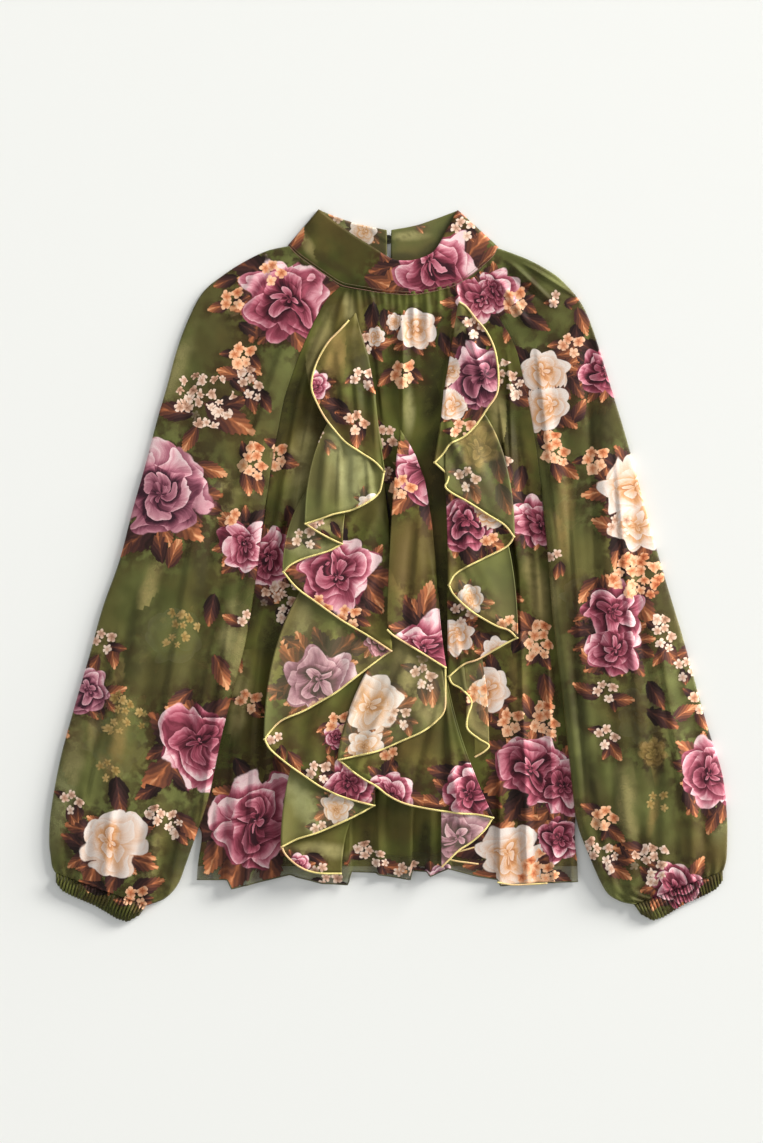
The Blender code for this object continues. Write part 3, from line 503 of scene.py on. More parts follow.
def printed_cloth(name, ground, shadow, alpha, faded, hem_alpha=None, pucker_turn=None):
    """Crepe chiffon printed on one side: mottled ground, leaves, blooms and sprays, with a fine grain, under
    soft washes of painted shade and painted highlight, and of tan where the layer below shows through.

    faded is how far the colours have gone towards the pale ground, as on the cloth's wrong side. The
    bare ground lets light through by its alpha, or by hem_alpha where no lining backs it, and the printed
    flowers are nearly opaque. pucker_turn is the direction across the puckers of an elastic casing, whose
    valleys are darkened with painted shade.
    """
    material, finish = new_material(name)
    at = Shade(material.node_tree)
    cloth = at.node("UVMap", {"uv_map": "cloth"})
    mottle, cloud, grain = cloth.noise(16.0, 3.0), cloth.noise(11.0, 4.0), cloth.noise(1100.0, 1.0)
    fine, broad = cloth.noise(95.0, 3.0), cloth.noise(38.0, 0.0)
    small = fine.sway(0.2, 0.34)
    wander = at.vector("ADD", broad.sway(0.55, 0.55), small)
    flow = at.vector("SUBTRACT", wander, at.vector("MULTIPLY", small, (0.6, 0.7, 0.0)))

    def read(kind):
        """A motif's place, tone and size."""
        spot = at.node("Attribute", {"attribute_name": kind}, None, "Vector")
        return at.vector("MULTIPLY", spot, (1.0, 1.0, 0.0)), spot.part("Z"), spot.other("Alpha")

    bloom, bloom_tone, _ = read("bloom")
    spray, spray_tone, spray_size = read("spray")
    leaf, leaf_tone, _ = read("leaf")
    wash, painted_light_and_tint_tone, _ = read("wash")
    colour = mottle.step(0.3, 0.7).mix(ink(shadow), ink(ground))
    colour = cloud.step(0.43, 0.66, 0.0, 0.55).mix(colour, ink(CLOUD_BROWN))
    colour = cloud.other("Color").part("Y").step(0.47, 0.66, 0.0, 0.36).mix(colour, ink(WARM_OLIVE))
    # Washes over the ground: painted shade at tone 0, tan of the layer below at 0.5, painted highlight at 1.
    painted_light_and_tint_colour = painted_light_and_tint_tone.step(0.0, 0.5).mix(ink(PAINTED_SHADE), ink(WASH_TAN))
    painted_light_and_tint_colour = painted_light_and_tint_tone.step(0.5, 1.0).mix(painted_light_and_tint_colour, ink(PAINTED_HIGHLIGHT))
    soft = at.vector("ADD", wash, wander).length().step(0.25, 1.2, 0.75, 0.0) * fine.step(0.2, 0.6, 0.55, 1.0)
    colour = soft.mix(colour, painted_light_and_tint_colour)
    near_bloom = bloom.length().step(0.9, 1.75, 0.85, 0.0) * fine.step(0.42, 0.6)
    colour = near_bloom.mix(colour, ink(BLOOM_SHADE))
    near_leaf = leaf.length().step(0.7, 2.2, 0.7, 0.0) * fine.step(0.38, 0.58)
    colour = near_leaf.mix(colour, ink(LEAF_SHADE))
    printed = None
    for motif, mask in (draw_leaf(leaf, leaf_tone, small), draw_bloom(bloom, bloom_tone, flow),
                        draw_spray(spray, spray_tone, spray_size, small)):
        colour = mask.mix(colour, motif)
        printed = mask if printed is None else mask.maths("MAXIMUM", mask, printed)
    if faded:
        colour = at.node("Mix", {"data_type": "RGBA"}, {0: faded, 6: colour, 7: ink(FADED_GROUND)}, 2)
    # Painted shade: dark stripes down the valleys of the puckers.
    if pucker_turn is not None:
        across = at.node("VectorRotate", {"rotation_type": "Z_AXIS"},
                         {"Vector": cloth, "Angle": -np.radians(pucker_turn)})
        puckers = at.node("TexWave", None,
                          {"Vector": across, "Scale": 92.0, "Distortion": 2.5, "Detail": 1.0}, "Fac")
        colour = puckers.step(0.05, 0.5, 0.75, 0.0).mix(colour, ink(PAINTED_PUCKER_SHADE))
    threads = grain.ramp((0.3, (0.9, 0.9, 0.9, 1)), (0.7, (1.05, 1.05, 1.04, 1)))
    colour = at.node("Mix", {"data_type": "RGBA", "blend_type": "MULTIPLY"},
                     {0: 1.0, 6: colour, 7: threads}, 2)
    colour.into(finish["Base Color"])
    (0.52 + 0.14 * mottle).into(finish["Roughness"])
    at.node("Bump", None, {"Height": grain, "Distance": 0.0002, "Strength": 0.14}).into(finish["Normal"])
    finish["Sheen Weight"].default_value = 0.04
    finish["Sheen Roughness"].default_value = 0.45
    finish["Specular IOR Level"].default_value = 0.18
    if hem_alpha is not None:
        alpha = cloth.part("Y").step(LINING_HEM / 1000 - 0.001, LINING_HEM / 1000 + 0.002, alpha, hem_alpha)
    if not isinstance(alpha, float) or alpha < 1:
        (alpha + printed * (FLOWER_ALPHA - alpha) * (1 - faded)).into(finish["Alpha"])
    return material


def both_sides(name, ground, shadow, alpha, faded, wrong="_wrong_side", hem_alpha=None):
    """The finishes of a cloth's printed side and of its paler wrong side."""
    return [printed_cloth(name + side, ground, shadow, alpha, pale, hem_alpha)
            for side, pale in (("", 0.0), (wrong, faded))]


body_cloth = both_sides("body_chiffon", "#686b2e", "#434519", alpha=0.86, faded=0.3, hem_alpha=0.45)

BACK_MOTIFS = {
    # Its washes are painted shade where the tone is near 0 and painted highlight where it is near 1.
    "wash": [(330, 500, 40, 90, 0.8), (480, 700, 40, 80, 0.2)],
    "bloom": [
        (300, 420, 40, 20, 0), (470, 560, 36, 80, 1), (320, 700, 42, 140, 0.5), (500, 760, 40, 200, 0),
        (420, 330, 30, 30, 0.5),
    ],
    "spray": [
        (360, 480, 24, 0, 1), (440, 660, 24, 50, 0), (260, 800, 22, 90, 0), (400, 820, 24, 10, 1),
        (520, 640, 20, 10, 0),
    ],
    "leaf": [
        (345, 400, 20, 30, 0.6), (510, 590, 20, 60, 0.9), (275, 730, 22, 160, 0.3), (455, 770, 20, 190, 0.7),
        (360, 640, 18, 300, 0.5),
    ],
}
BACK_CREASES = [
    (330, 350, 300, 700, 6, 9, 0.5), (450, 330, 480, 760, -8, 10, 0.5), (390, 420, 380, 840, 5, 8, 0.4),
]


def across_back(half_columns):
    """Fractions across the back: two halves that stay apart at the slit."""
    first, last = LEFT_SLEEVE[0, 0], RIGHT_SLEEVE[0, 0]
    left = (SLIT_X - SLIT_WIDTH / 2 - first) / (last - first)
    right = (SLIT_X + SLIT_WIDTH / 2 - first) / (last - first)
    half = np.linspace(0, 1, half_columns)
    return np.concatenate([half * left, right + half * (1 - right)])


x, y, at = body_plan(across_back(BACK_COLUMNS), BODY_ROWS, back=True)
y = np.minimum(y, BACK_HEM)
slit = np.ones((BODY_ROWS - 1, 2 * BACK_COLUMNS - 1), bool)
slit[:SLIT_ROWS, BACK_COLUMNS - 1] = False
lift = -creases(x, y, BACK_CREASES)
lift = lift * smooth((x - BACK_FLAT[0]) / FLAT_FADE) * smooth((BACK_FLAT[1] - x) / FLAT_FADE)
back_panel = add_cloth("back_cloth", x, y, FLOOR_LAYER + BACK_RELIEF * lift, BACK_MOTIFS, body_cloth[::-1],
                       "printed_cloth", keep=slit)
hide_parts("back_panel")

# ---- Lining ------------------------------------------------------------------------------------
# A plain satin layer between the front and the back. It stops short of the hem, so that the last of the
# front has no backing and looks paler there.
LINING_INSET, LINING_COLUMNS = 7.0, 40
LINING_TOP = 3  # the section of the raglan seam where it begins


def plain_cloth(name, colour, shade, roughness):
    """Smooth woven cloth: two near shades mottled, with a fine rib of threads."""
    material, finish = new_material(name)
    cloth = Shade(material.node_tree).node("UVMap", {"uv_map": "cloth"})
    mottle = cloth.noise(30.0, 3.0)
    ribs = cloth.node("TexWave", None, {"Vector": cloth, "Scale": 400.0, "Distortion": 1.0}, "Fac")
    mottle.step(0.3, 0.7).mix(ink(shade), ink(colour)).into(finish["Base Color"])
    (roughness + 0.1 * mottle).into(finish["Roughness"])
    cloth.node("Bump", None, {"Height": ribs, "Distance": 0.0001, "Strength": 0.3}).into(finish["Normal"])
    return material


lining_cloth = plain_cloth("lining_satin", "#46522a", "#38431f", 0.45)
across = np.linspace(0, 1, LINING_COLUMNS)
x, y, at = body_plan(across, BODY_ROWS, back=False)
top = np.searchsorted(at, LINING_TOP)
x, y = (x + LINING_INSET * (1 - 2 * across))[top:], np.minimum(y[top:], LINING_HEM)
lining = add_cloth("lining_cloth", x, y, LINING_LAYER, None, [lining_cloth], "lining_cloth")
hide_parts("lining")

# ---- Front panel -------------------------------------------------------------------------------
# Printed chiffon gathered into the neck seam. It falls in a deep fold at each side and in soft folds
# between, and its narrow rolled hem hangs unevenly.
FRONT_HEM = [  # x, and how far the hem hangs below the cut there
    (197, -2), (228, -2), (232, 7), (248, 3), (290, -7), (296, -5), (322, 2), (348, 3), (351, -10), (376, -9),
    (379, -7), (410, -2), (412, -11), (427, -10), (430, -5), (448, -13), (478, -5), (498, -2), (500, 4),
    (546, 1), (578, 0),
]
HEM_ROWS = (0, 0, 0.25, 0.6, 1.0)  # share of that depth at the last rows of the sides' table
# A fold falls from its crest to each side, steep where a width is small. It eases in and out along its
# length, but one whose foot is below FOLD_HEM keeps its height to the end.
FOLD_HEM, FOLD_EASE = 870, 0.3
Fold = namedtuple("Fold", "top_x top_y foot_x foot_y left_width right_width height")
FRONT_FOLDS = [
    (250, 628, 231, 884, 8, 42, 5), (552, 625, 547, 735, 14, 8, 3), (541, 790, 546, 884, 12, 16, 2),
    (272, 800, 272, 880, 10, 14, 1.5), (401, 297, 401, 425, 9, 9, 1.6), (345, 292, 336, 350, 8, 7, 1.2),
    (378, 296, 384, 360, 7, 7, 1.1), (389, 297, 392, 345, 6, 6, 0.9), (414, 297, 411, 352, 6, 6, 1),
    (429, 295, 424, 345, 7, 7, 1.1),
]
SIDE_QUIET, QUIET_FADE = 7.0, 10.0  # the front lies flat beside the sleeves for so far
GATHER_SCALE, CREASE_SCALE, CRISP_SCALE = 1.5, 0.9, 1.15
DEEPEST = 0.9  # how far a crease may sink below the flat front
# Neck gathers: where each small pleat starts on the seam, how it leans, and how long and high it is.
Gather = namedtuple("Gather", "x lean length width height")
NECK_GATHERS = [
    (340, -0.42, 70, 2.2, 0.8), (345, -0.24, 120, 3.2, 1.6), (352, -0.06, 40, 1.6, 0.6),
    (357, 0.08, 96, 3, 1.3), (364, 0.14, 40, 1.6, 0.7), (370, 0.2, 116, 3.2, 1.5), (377, 0.12, 36, 1.6, 0.6),
    (383, 0.1, 90, 2.8, 1.2), (391, 0.04, 36, 1.5, 0.6), (398, 0.02, 60, 1.8, 0.8), (406, -0.02, 50, 2, 0.9),
    (413, 0.03, 126, 3.2, 1.5), (420, 0.05, 36, 1.6, 0.5), (426, 0.04, 100, 3, 1.3),
    (433, 0.02, 42, 1.6, 0.6), (439, -0.02, 90, 2.8, 1.4), (447, 0.16, 40, 1.8, 0.7),
    (454, 0.25, 84, 2.6, 1.3), (462, 0.32, 40, 1.8, 0.7),
]
FRONT_CREASES = [
    (300, 400, 262, 640, -6, 6, 2.2), (330, 420, 300, 620, 4, 5, 1.6), (262, 660, 250, 860, 3, 5, 1.6),
    (285, 700, 280, 860, 2, 5, 1.2), (505, 380, 535, 620, -5, 5, 1.8), (520, 560, 540, 780, 3, 6, 1.6),
    (500, 640, 512, 840, -3, 6, 1.2), (392, 740, 390, 870, 2, 4, 1.5), (418, 740, 414, 868, -2, 4, 1.4),
    (350, 800, 350, 880, 1, 3, 1.2), (541, 800, 541, 872, 0, 2, 0.9), (215, 790, 211, 870, 1, 4, 1.2),
]
CRISP_FOLDS = [  # those that reach the hem make its steps
    (403, 318, 402, 450, 2, 12, 2), (374, 330, 384, 430, 2, 10, 1.4), (326, 305, 286, 432, 3, 16, 4.2),
    (302, 378, 254, 636, 3, 17, 4.6), (330, 330, 298, 470, 2.5, 12, 2.4), (306, 440, 276, 640, 2.5, 10, 2.6),
    (498, 395, 522, 610, 2.5, 15, 4), (298, 720, 297, 884, 2.5, 14, 3.2), (350, 760, 350, 884, 16, 2.5, 3),
    (378, 760, 378, 884, 2.5, 12, 2.8), (411, 770, 411, 884, 14, 2.5, 3), (429, 780, 429, 884, 2.5, 10, 2.6),
    (449, 780, 449, 884, 10, 2.5, 2.6), (499, 740, 499, 884, 2.5, 22, 3.2), (391, 540, 384, 700, 3, 14, 2.6),
    (520, 680, 530, 850, 12, 5, 2.2), (452, 318, 442, 420, 3, 12, 2.2), (217, 790, 214, 884, 4, 10, 1.4),
    (532, 470, 541, 640, 8, 4, 2), (401, 300, 401, 432, 2, 11, 2.6), (272, 700, 268, 860, 4, 12, 1.8),
    (262, 620, 246, 884, 2, 12, 3.4), (284, 590, 276, 780, 2, 9, 2.2), (236, 690, 226, 884, 2, 8, 2.2),
    (518, 540, 526, 884, 2, 11, 2.8), (546, 590, 553, 884, 2, 10, 2.8), (566, 690, 571, 884, 2, 6, 1.8),
    (507, 330, 512, 480, 2, 9, 2),
]


def fold_relief(x, y, folds):
    """Height of the folds: a crest from top to foot, each side falling as an eased ramp of its width."""
    total = np.zeros(np.broadcast(x, y).shape)
    for f in map(Fold._make, folds):
        t = (y - f.top_y) / (f.foot_y - f.top_y)
        crest = f.top_x + (f.foot_x - f.top_x) * t
        side = np.where(x < crest, (crest - x) / f.left_width, (x - crest) / f.right_width)
        foot = 1.0 if f.foot_y > FOLD_HEM else smooth((1 - t) / FOLD_EASE)
        total = total + f.height * (1 - smooth(side)) * smooth(t / FOLD_EASE) * foot
    return total


def side_quiet(x, y):
    """0 beside the sleeves, where they lie on the body, and 1 further in and below them."""
    left, right = body_sides(back=False)
    near = smooth((x - np.interp(y, left[:, 1], left[:, 0]) - SIDE_QUIET) / QUIET_FADE)
    near = near * smooth((np.interp(y, right[:, 1], right[:, 0]) - x - SIDE_QUIET) / QUIET_FADE)
    return np.where(y > BODY_SIDES[0, 2], 1.0, near)


def front_height(x, y):
    """The folded front that the ruffles lie on."""
    return FRONT_LAYER + (fold_relief(x, y, FRONT_FOLDS) + neck_gathers(x, y)) * side_quiet(x, y)


def neck_gathers(x, y):
    """Small ridges from the neck seam: a bell across each, fading out along its length."""
    total = np.zeros(np.broadcast(x, y).shape)
    down = y - np.interp(x, neck_x, neck_y)
    for g in map(Gather._make, NECK_GATHERS):
        t = np.clip(down / g.length, 0, 1)
        bell = np.exp(-(((x - g.x - g.lean * down) / (g.width * (1 + t))) ** 2))
        total += GATHER_SCALE * g.height * bell * (1 - t) ** 1.1
    return total


FRONT_MOTIFS = {
    # Washes: painted shade in the fold valleys and between the ruffles where the tone is near 0, painted
    # highlight where it is near 1.
    "wash": [
        (432, 385, 26, 95, 0), (300, 470, 26, 100, 0.8), (240, 690, 26, 95, 0.75), (318, 350, 22, 110, 0.75),
        (440, 600, 40, 90, 0.05), (536, 590, 26, 80, 0.7), (276, 620, 30, 100, 0.05), (388, 520, 26, 95, 0.1),
        (409, 416, 15, 92, 0.85), (520, 700, 24, 80, 0.3), (330, 860, 22, 0, 0.8), (292, 396, 26, 115, 0.05),
        (272, 455, 24, 105, 0.05), (226, 800, 30, 92, 0.05), (214, 830, 20, 92, 0.8),
        (296, 800, 24, 90, 0.05), (366, 850, 18, 90, 0.05), (425, 850, 18, 90, 0.05),
        (480, 860, 16, 90, 0.75), (512, 450, 28, 80, 0.05), (545, 690, 26, 85, 0.05),
        (500, 420, 22, 80, 0.75), (252, 610, 24, 100, 0.05), (262, 740, 26, 94, 0.1), (440, 480, 36, 90, 0),
        (375, 345, 16, 85, 0.05), (352, 320, 14, 80, 0.8),
    ],
    "bloom": [
        (258, 822, 44, 20, 0.04), (533, 768, 31, 60, 0), (562, 786, 27, 150, 0.08), (510, 856, 31, 10, 1),
        (480, 300, 22, 200, 0.02), (536, 522, 24, 30, 0.04), (268, 560, 26, 100, 0.05),
        (560, 838, 20, 200, 0.1), (415, 330, 17, 30, 1), (487, 690, 20, 80, 1), (376, 338, 9, 90, 0.95),
        (394, 322, 8, 30, 0.9), (360, 560, 20, 0, 0.6), (440, 890, 16, 60, 0.4),
    ],
    "spray": [
        (275, 455, 16, 10, 0), (262, 470, 10, 40, 0), (283, 600, 22, 60, 1), (505, 380, 22, 20, 1),
        (540, 640, 20, 80, 0), (248, 700, 12, 30, 0), (545, 720, 18, 70, 0), (540, 870, 22, 20, 0),
        (360, 345, 16, 0, 1), (402, 372, 14, 10, 0), (402, 480, 17, 50, 0), (386, 436, 13, 90, 0.6),
        (392, 476, 9, 20, 1), (405, 875, 14, 30, 1), (372, 860, 18, 30, 1), (510, 720, 16, 20, 0),
        (330, 880, 16, 20, 1), (498, 460, 14, 60, 1),
    ],
    "leaf": [
        (380, 500, 16, 100, 0.2), (425, 597, 20, 70, 0.9), (235, 660, 16, 60, 0.8), (372, 318, 16, 95, 0.15),
        (400, 332, 12, 20, 0.95), (382, 516, 16, 110, 0.15), (386, 322, 14, 80, 0.3), (445, 345, 14, 70, 0.2),
        (508, 595, 18, 20, 0.5), (520, 640, 16, 300, 0.3), (546, 690, 18, 80, 0.8), (500, 830, 18, 330, 0.9),
        (486, 800, 20, 20, 0.2), (244, 772, 18, 60, 0.2), (286, 770, 20, 50, 0.9), (530, 815, 18, 10, 0.9),
        (520, 480, 16, 100, 0.4), (292, 520, 16, 70, 0.6), (510, 330, 16, 110, 0.6), (470, 510, 16, 30, 0.4),
    ],
}
FRONT_COLUMNS, FRONT_ROWS = 262, 174
x, y, at = body_plan(np.linspace(0, 1, FRONT_COLUMNS), FRONT_ROWS, back=False)
cloth = np.stack([x, y], -1)
hem_rows = len(body_sides(back=False)[0]) - len(HEM_ROWS) + np.arange(len(HEM_ROWS))
y = y + np.interp(at, hem_rows, HEM_ROWS)[:, None] * np.interp(x, *np.transpose(FRONT_HEM))
neck_x, neck_y = x[0], y[0]
folded = creases(x, y, FRONT_CREASES) * CREASE_SCALE + CRISP_SCALE * fold_relief(x, y, CRISP_FOLDS)
z = np.maximum(front_height(x, y) + side_quiet(x, y) * folded, FRONT_LAYER - DEEPEST)
front_panel = add_cloth("front_cloth", x, y, z, FRONT_MOTIFS, body_cloth, "printed_cloth", cloth)
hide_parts("front_panel")


TUBE_SIDES, FLATTENED = 8, 0.8


def run_along(p):
    """Distance along a path from its first point to each of its points."""
    return np.concatenate([[0], np.cumsum(np.linalg.norm(np.diff(p, axis=0), axis=1))])


def add_tube(name, p, radius, material):
    """A round edge or thread: a ring of eight points carried along the path, a little flattened."""
    p = p[np.concatenate([[True], np.diff(run_along(p)) > 1e-4])]
    ahead = np.gradient(p, axis=0)
    ahead /= np.linalg.norm(ahead, axis=1)[:, None]
    side = np.cross(ahead, [0, 0, 1])
    side /= np.linalg.norm(side, axis=1)[:, None]
    above = np.cross(side, ahead)
    angle = np.linspace(0, 2 * np.pi, TUBE_SIDES + 1)[None, :-1, None]
    ring = p[:, None] + radius * (np.cos(angle) * side[:, None] + FLATTENED * np.sin(angle) * above[:, None])
    rows, sides = ring.shape[:2]
    number = np.arange(rows * sides).reshape(rows, sides)
    number = np.concatenate([number, number[:, :1]], axis=1)
    ends = [number[0, :-1][::-1].tolist(), number[-1, :-1].tolist()]
    mesh = bpy.data.meshes.new(name)
    quads = np.stack([quad_corners(number)[k] for k in (0, 3, 2, 1)], -1).reshape(-1, 4)
    mesh.from_pydata(board_points(*ring.transpose(2, 0, 1)), [], quads.tolist() + ends)
    uv = np.stack(np.broadcast_arrays(run_along(p)[:, None] / 1000, np.linspace(0, 1, sides + 1)[None]), -1)
    uv = np.stack([quad_corners(uv)[k] for k in (0, 3, 2, 1)], -2).reshape(-1, 2)
    uv = np.concatenate([uv, np.zeros((2 * sides, 2))])
    mesh.uv_layers.new(name="thread").data.foreach_set("uv", uv.astype(np.float32).ravel())
    return lay(name, mesh, [material])


def thread_finish(name, colour, other, gap_shade):
    """Close stitches: a wave along the run darkens the gaps between them with painted shade, and the colour
    drifts between two shades.
    """
    material, finish = new_material(name)
    thread = Shade(material.node_tree).node("UVMap", {"uv_map": "thread"})
    stitches = thread.node("TexWave", None,
                           {"Vector": thread, "Scale": 200.0, "Distortion": 2.0, "Detail": 1.0}, "Fac")
    drift = thread.node("TexNoise", {"noise_dimensions": "1D"}, {"W": thread.part("X"), "Scale": 14.0})
    run = drift.step(0.5, 0.7).mix(ink(colour), ink(other))
    stitches.step(0.0, 0.35, 0.45, 0.0).mix(run, ink(gap_shade)).into(finish["Base Color"])
    bump = thread.node("Bump", None, {"Height": stitches, "Distance": 0.0003, "Strength": 0.5})
    bump.into(finish["Normal"])
    finish["Roughness"].default_value = 0.65
    finish["Sheen Weight"].default_value = 0.15
    return material


HEM_RADIUS = 0.75
hem_thread = thread_finish("rolled_hem", "#4a4826", "#5f5c38", "#2c2a14")
hem_line = np.stack([x[-1], y[-1], z[-1]], -1)
front_hem = add_tube("front_hem", hem_line, HEM_RADIUS, hem_thread)

# ---- Sleeves -----------------------------------------------------------------------------------
# Raglan sleeves of the same chiffon without a lining, so the lower wall shows through the upper one.
# Each is gathered at the neck, closed from the underarm down and full above its elastic cuff.
FOLD_REACH = 1.6  # how far in from a sleeve's edge its wall has turned over
CUFF_GATHERS = 1.1  # height of the small folds that run up from a cuff
CUFF_GATHERS_START, CUFF_GATHER_COUNT = 17.2, 11  # the section where they start, and how many
OVER_BODY, LOWERED = 4.5, 17  # lift of a sleeve's inner edge over the body, and the section where it ends
LIFT_KEPT, LOWER_FADE, UPPER_FADE = 5, 10, 13  # how far in from that edge it stays, and then fades
CLOSED_LOFT, CLOSED_PUFF = 0.4, 3.2  # more height of the upper wall below the underarm
SLEEVE_ROWS, SLEEVE_COLUMNS = 210, 84
SLEEVE_CREASE_SCALE, SLEEVE_FOLD_SCALE = 1.3, 1.35

# In both sleeves' washes, tone near 0 is painted shade along the folds, 0.5 is tan where the lower wall shows
# through, and near 1 is painted highlight where the sheer sleeve looks paler.
LEFT_SLEEVE_MOTIFS = {
    "wash": [
        (120, 735, 19, 100, 0.5), (112, 770, 14, 60, 0.5), (235, 655, 26, 100, 0.75), (72, 760, 26, 100, 0.8),
        (215, 420, 40, 100, 0.1), (150, 590, 20, 110, 0.7), (120, 680, 16, 100, 0.62),
        (96, 720, 16, 100, 0.7), (204, 556, 30, 96, 0), (232, 640, 26, 98, 0.8), (168, 380, 30, 115, 0.8),
        (262, 330, 24, 120, 0.05), (140, 640, 34, 105, 0.05), (62, 800, 30, 97, 0.95),
        (186, 840, 22, 105, 0.05), (150, 860, 20, 100, 0.75), (226, 500, 26, 100, 0.7),
    ],
    "bloom": [
        (286, 300, 39, 20, 0), (163, 490, 42, 60, 0.3), (246, 545, 24, 120, 0.05), (202, 745, 40, 200, 0.06),
        (113, 842, 30, 30, 1), (90, 690, 20, 60, 0.3), (21, 716, 30, 10, 1), (24, 606, 26, 60, 1),
        (-20, 800, 22, 90, 0.9), (60, 500, 24, 30, 0.1),
    ],
    "spray": [
        (232, 300, 13, 0, 0.1), (242, 354, 15, 30, 0), (254, 462, 18, 80, 0.05), (284, 452, 15, 70, 0.1),
        (205, 400, 31, 10, 1), (250, 385, 18, 60, 1), (104, 640, 16, 30, 1), (72, 800, 14, 60, 1),
        (165, 818, 20, 20, 1), (136, 896, 13, 10, 0.1), (272, 272, 12, 60, 0.3), (238, 520, 10, 30, 0),
        (180, 630, 21, 100, 2), (122, 715, 24, 100, 2), (108, 768, 15, 60, 2), (250, 620, 14, 30, 1),
        (20, 700, 30, 30, 0.2), (-30, 560, 30, 30, 0.3),
    ],
    "leaf": [
        (212, 470, 18, 20, 0.95), (205, 505, 20, 200, 0.9), (190, 440, 16, 120, 0.9),
        (160, 545, 20, 260, 0.4), (175, 552, 18, 290, 0.9), (128, 545, 18, 130, 0.5),
        (212, 610, 18, 100, 0.2), (222, 672, 20, 70, 0.9), (180, 700, 18, 140, 0.7), (180, 775, 20, 240, 0.3),
        (150, 790, 18, 150, 0.1), (120, 795, 22, 80, 0.1), (140, 860, 22, 20, 0.5), (148, 885, 20, 340, 0.4),
        (95, 885, 18, 200, 0.1), (90, 865, 16, 170, 0.3), (252, 372, 14, 80, 0.2), (264, 400, 16, 60, 0.15),
        (238, 385, 12, 40, 0.1), (262, 570, 16, 60, 0.2), (92, 668, 16, 120, 0.9), (318, 262, 12, 10, 0.2),
        (250, 330, 14, 30, 0.1), (226, 282, 14, 160, 0.3),
    ],
}
RIGHT_SLEEVE_MOTIFS = {
    "wash": [
        (655, 750, 17, 90, 0.5), (652, 815, 12, 100, 0.5), (566, 500, 24, 95, 0.4), (562, 535, 16, 80, 0.5),
        (640, 600, 20, 80, 0.7), (612, 480, 26, 80, 0.75), (585, 500, 22, 90, 0.05), (690, 640, 24, 75, 0.8),
        (640, 730, 30, 80, 0.1), (601, 440, 32, 86, 0), (560, 360, 26, 70, 0.05), (530, 290, 20, 30, 0.1),
        (575, 700, 30, 84, 0.05), (660, 560, 30, 78, 0.1), (716, 800, 26, 85, 0.95), (625, 800, 26, 85, 0.75),
        (590, 780, 24, 80, 0.05), (548, 600, 24, 86, 0.75),
    ],
    "bloom": [
        (543, 372, 22, 10, 1), (547, 405, 22, 90, 0.97), (604, 372, 24, 60, 0.12), (613, 612, 27, 120, 0.1),
        (612, 648, 24, 10, 0.02), (632, 488, 28, 200, 1), (640, 525, 26, 80, 0.95), (712, 773, 30, 100, 0.2),
        (674, 884, 21, 20, 0.1), (495, 290, 20, 60, 0.06), (652, 752, 15, 30, 2), (757, 684, 22, 30, 1),
        (745, 560, 24, 90, 0.95), (700, 450, 22, 10, 0.1),
    ],
    "spray": [
        (514, 300, 16, 0, 0.05), (555, 450, 18, 60, 0), (594, 458, 15, 20, 0), (636, 576, 26, 80, 0.2),
        (560, 300, 10, 10, 1), (506, 368, 18, 20, 1), (570, 345, 12, 30, 0.4), (604, 816, 16, 60, 0.05),
        (662, 634, 18, 70, 1), (604, 690, 16, 30, 1), (684, 668, 11, 70, 1), (605, 735, 14, 60, 1),
        (600, 852, 20, 20, 1), (652, 862, 22, 60, 1), (618, 525, 12, 20, 1), (556, 560, 10, 60, 1),
        (700, 700, 16, 60, 0.5), (720, 640, 30, 10, 0.2), (656, 800, 13, 10, 2),
    ],
    "leaf": [
        (575, 340, 18, 100, 0.2), (582, 322, 16, 70, 0.8), (535, 322, 18, 30, 0.15), (575, 385, 18, 60, 0.2),
        (578, 412, 16, 300, 0.5), (512, 465, 14, 80, 0.8), (525, 470, 14, 110, 0.6), (588, 590, 18, 130, 0.9),
        (590, 660, 20, 230, 0.7), (585, 690, 16, 210, 0.6), (640, 650, 18, 20, 0.2), (655, 695, 18, 60, 0.15),
        (662, 718, 20, 30, 0.2), (684, 712, 16, 330, 0.9), (690, 768, 20, 20, 0.85), (690, 800, 18, 70, 0.3),
        (712, 820, 16, 110, 0.6), (655, 885, 18, 160, 0.4), (590, 880, 14, 60, 0.3), (530, 598, 18, 310, 0.6),
        (616, 555, 16, 100, 0.9), (520, 290, 14, 330, 0.2), (488, 275, 14, 300, 0.1), (625, 850, 14, 40, 0.2),
    ],
}
LEFT_SLEEVE_CREASES = [
    (236, 452, 207, 590, 5, 7, 2.2), (262, 300, 215, 420, -8, 8, 1.5), (205, 600, 180, 780, 4, 8, 2),
    (160, 560, 130, 760, -5, 9, 1.8), (110, 640, 95, 840, 4, 8, 2), (225, 560, 205, 700, -3, 6, 1.6),
    (120, 800, 112, 896, 2, 5, 1.8), (92, 800, 84, 888, 1, 5, 1.8), (150, 800, 134, 902, 2, 5, 1.6),
    (70, 790, 66, 880, 1, 4, 1.4), (300, 262, 262, 290, -3, 4, 1.4), (312, 278, 285, 320, -3, 4, 1.2),
    (190, 350, 172, 470, -6, 8, 1.6), (180, 780, 160, 890, 2, 5, 1.5),
]
RIGHT_SLEEVE_CREASES = [
    (500, 262, 552, 303, 3, 4, 1.8), (488, 280, 522, 318, -2, 4, 1.4), (588, 330, 597, 460, 3, 7, 2.4),
    (596, 450, 604, 700, 2, 5, 2.6), (560, 420, 572, 600, -4, 7, 1.8), (630, 480, 652, 700, 5, 8, 2),
    (575, 620, 590, 800, 3, 6, 1.6), (610, 700, 622, 880, 2, 6, 2), (650, 700, 668, 890, 3, 8, 2),
    (690, 660, 704, 850, 2, 7, 1.6), (640, 810, 642, 896, 1, 4, 1.6), (676, 820, 676, 886, 1, 4, 1.4),
    (600, 800, 626, 892, 1, 5, 1.5), (706, 800, 704, 872, 1, 4, 1.4),
]
sleeve_cloth = both_sides("sleeve_chiffon", "#7d8046", "#575a29", alpha=0.6, faded=0.2)
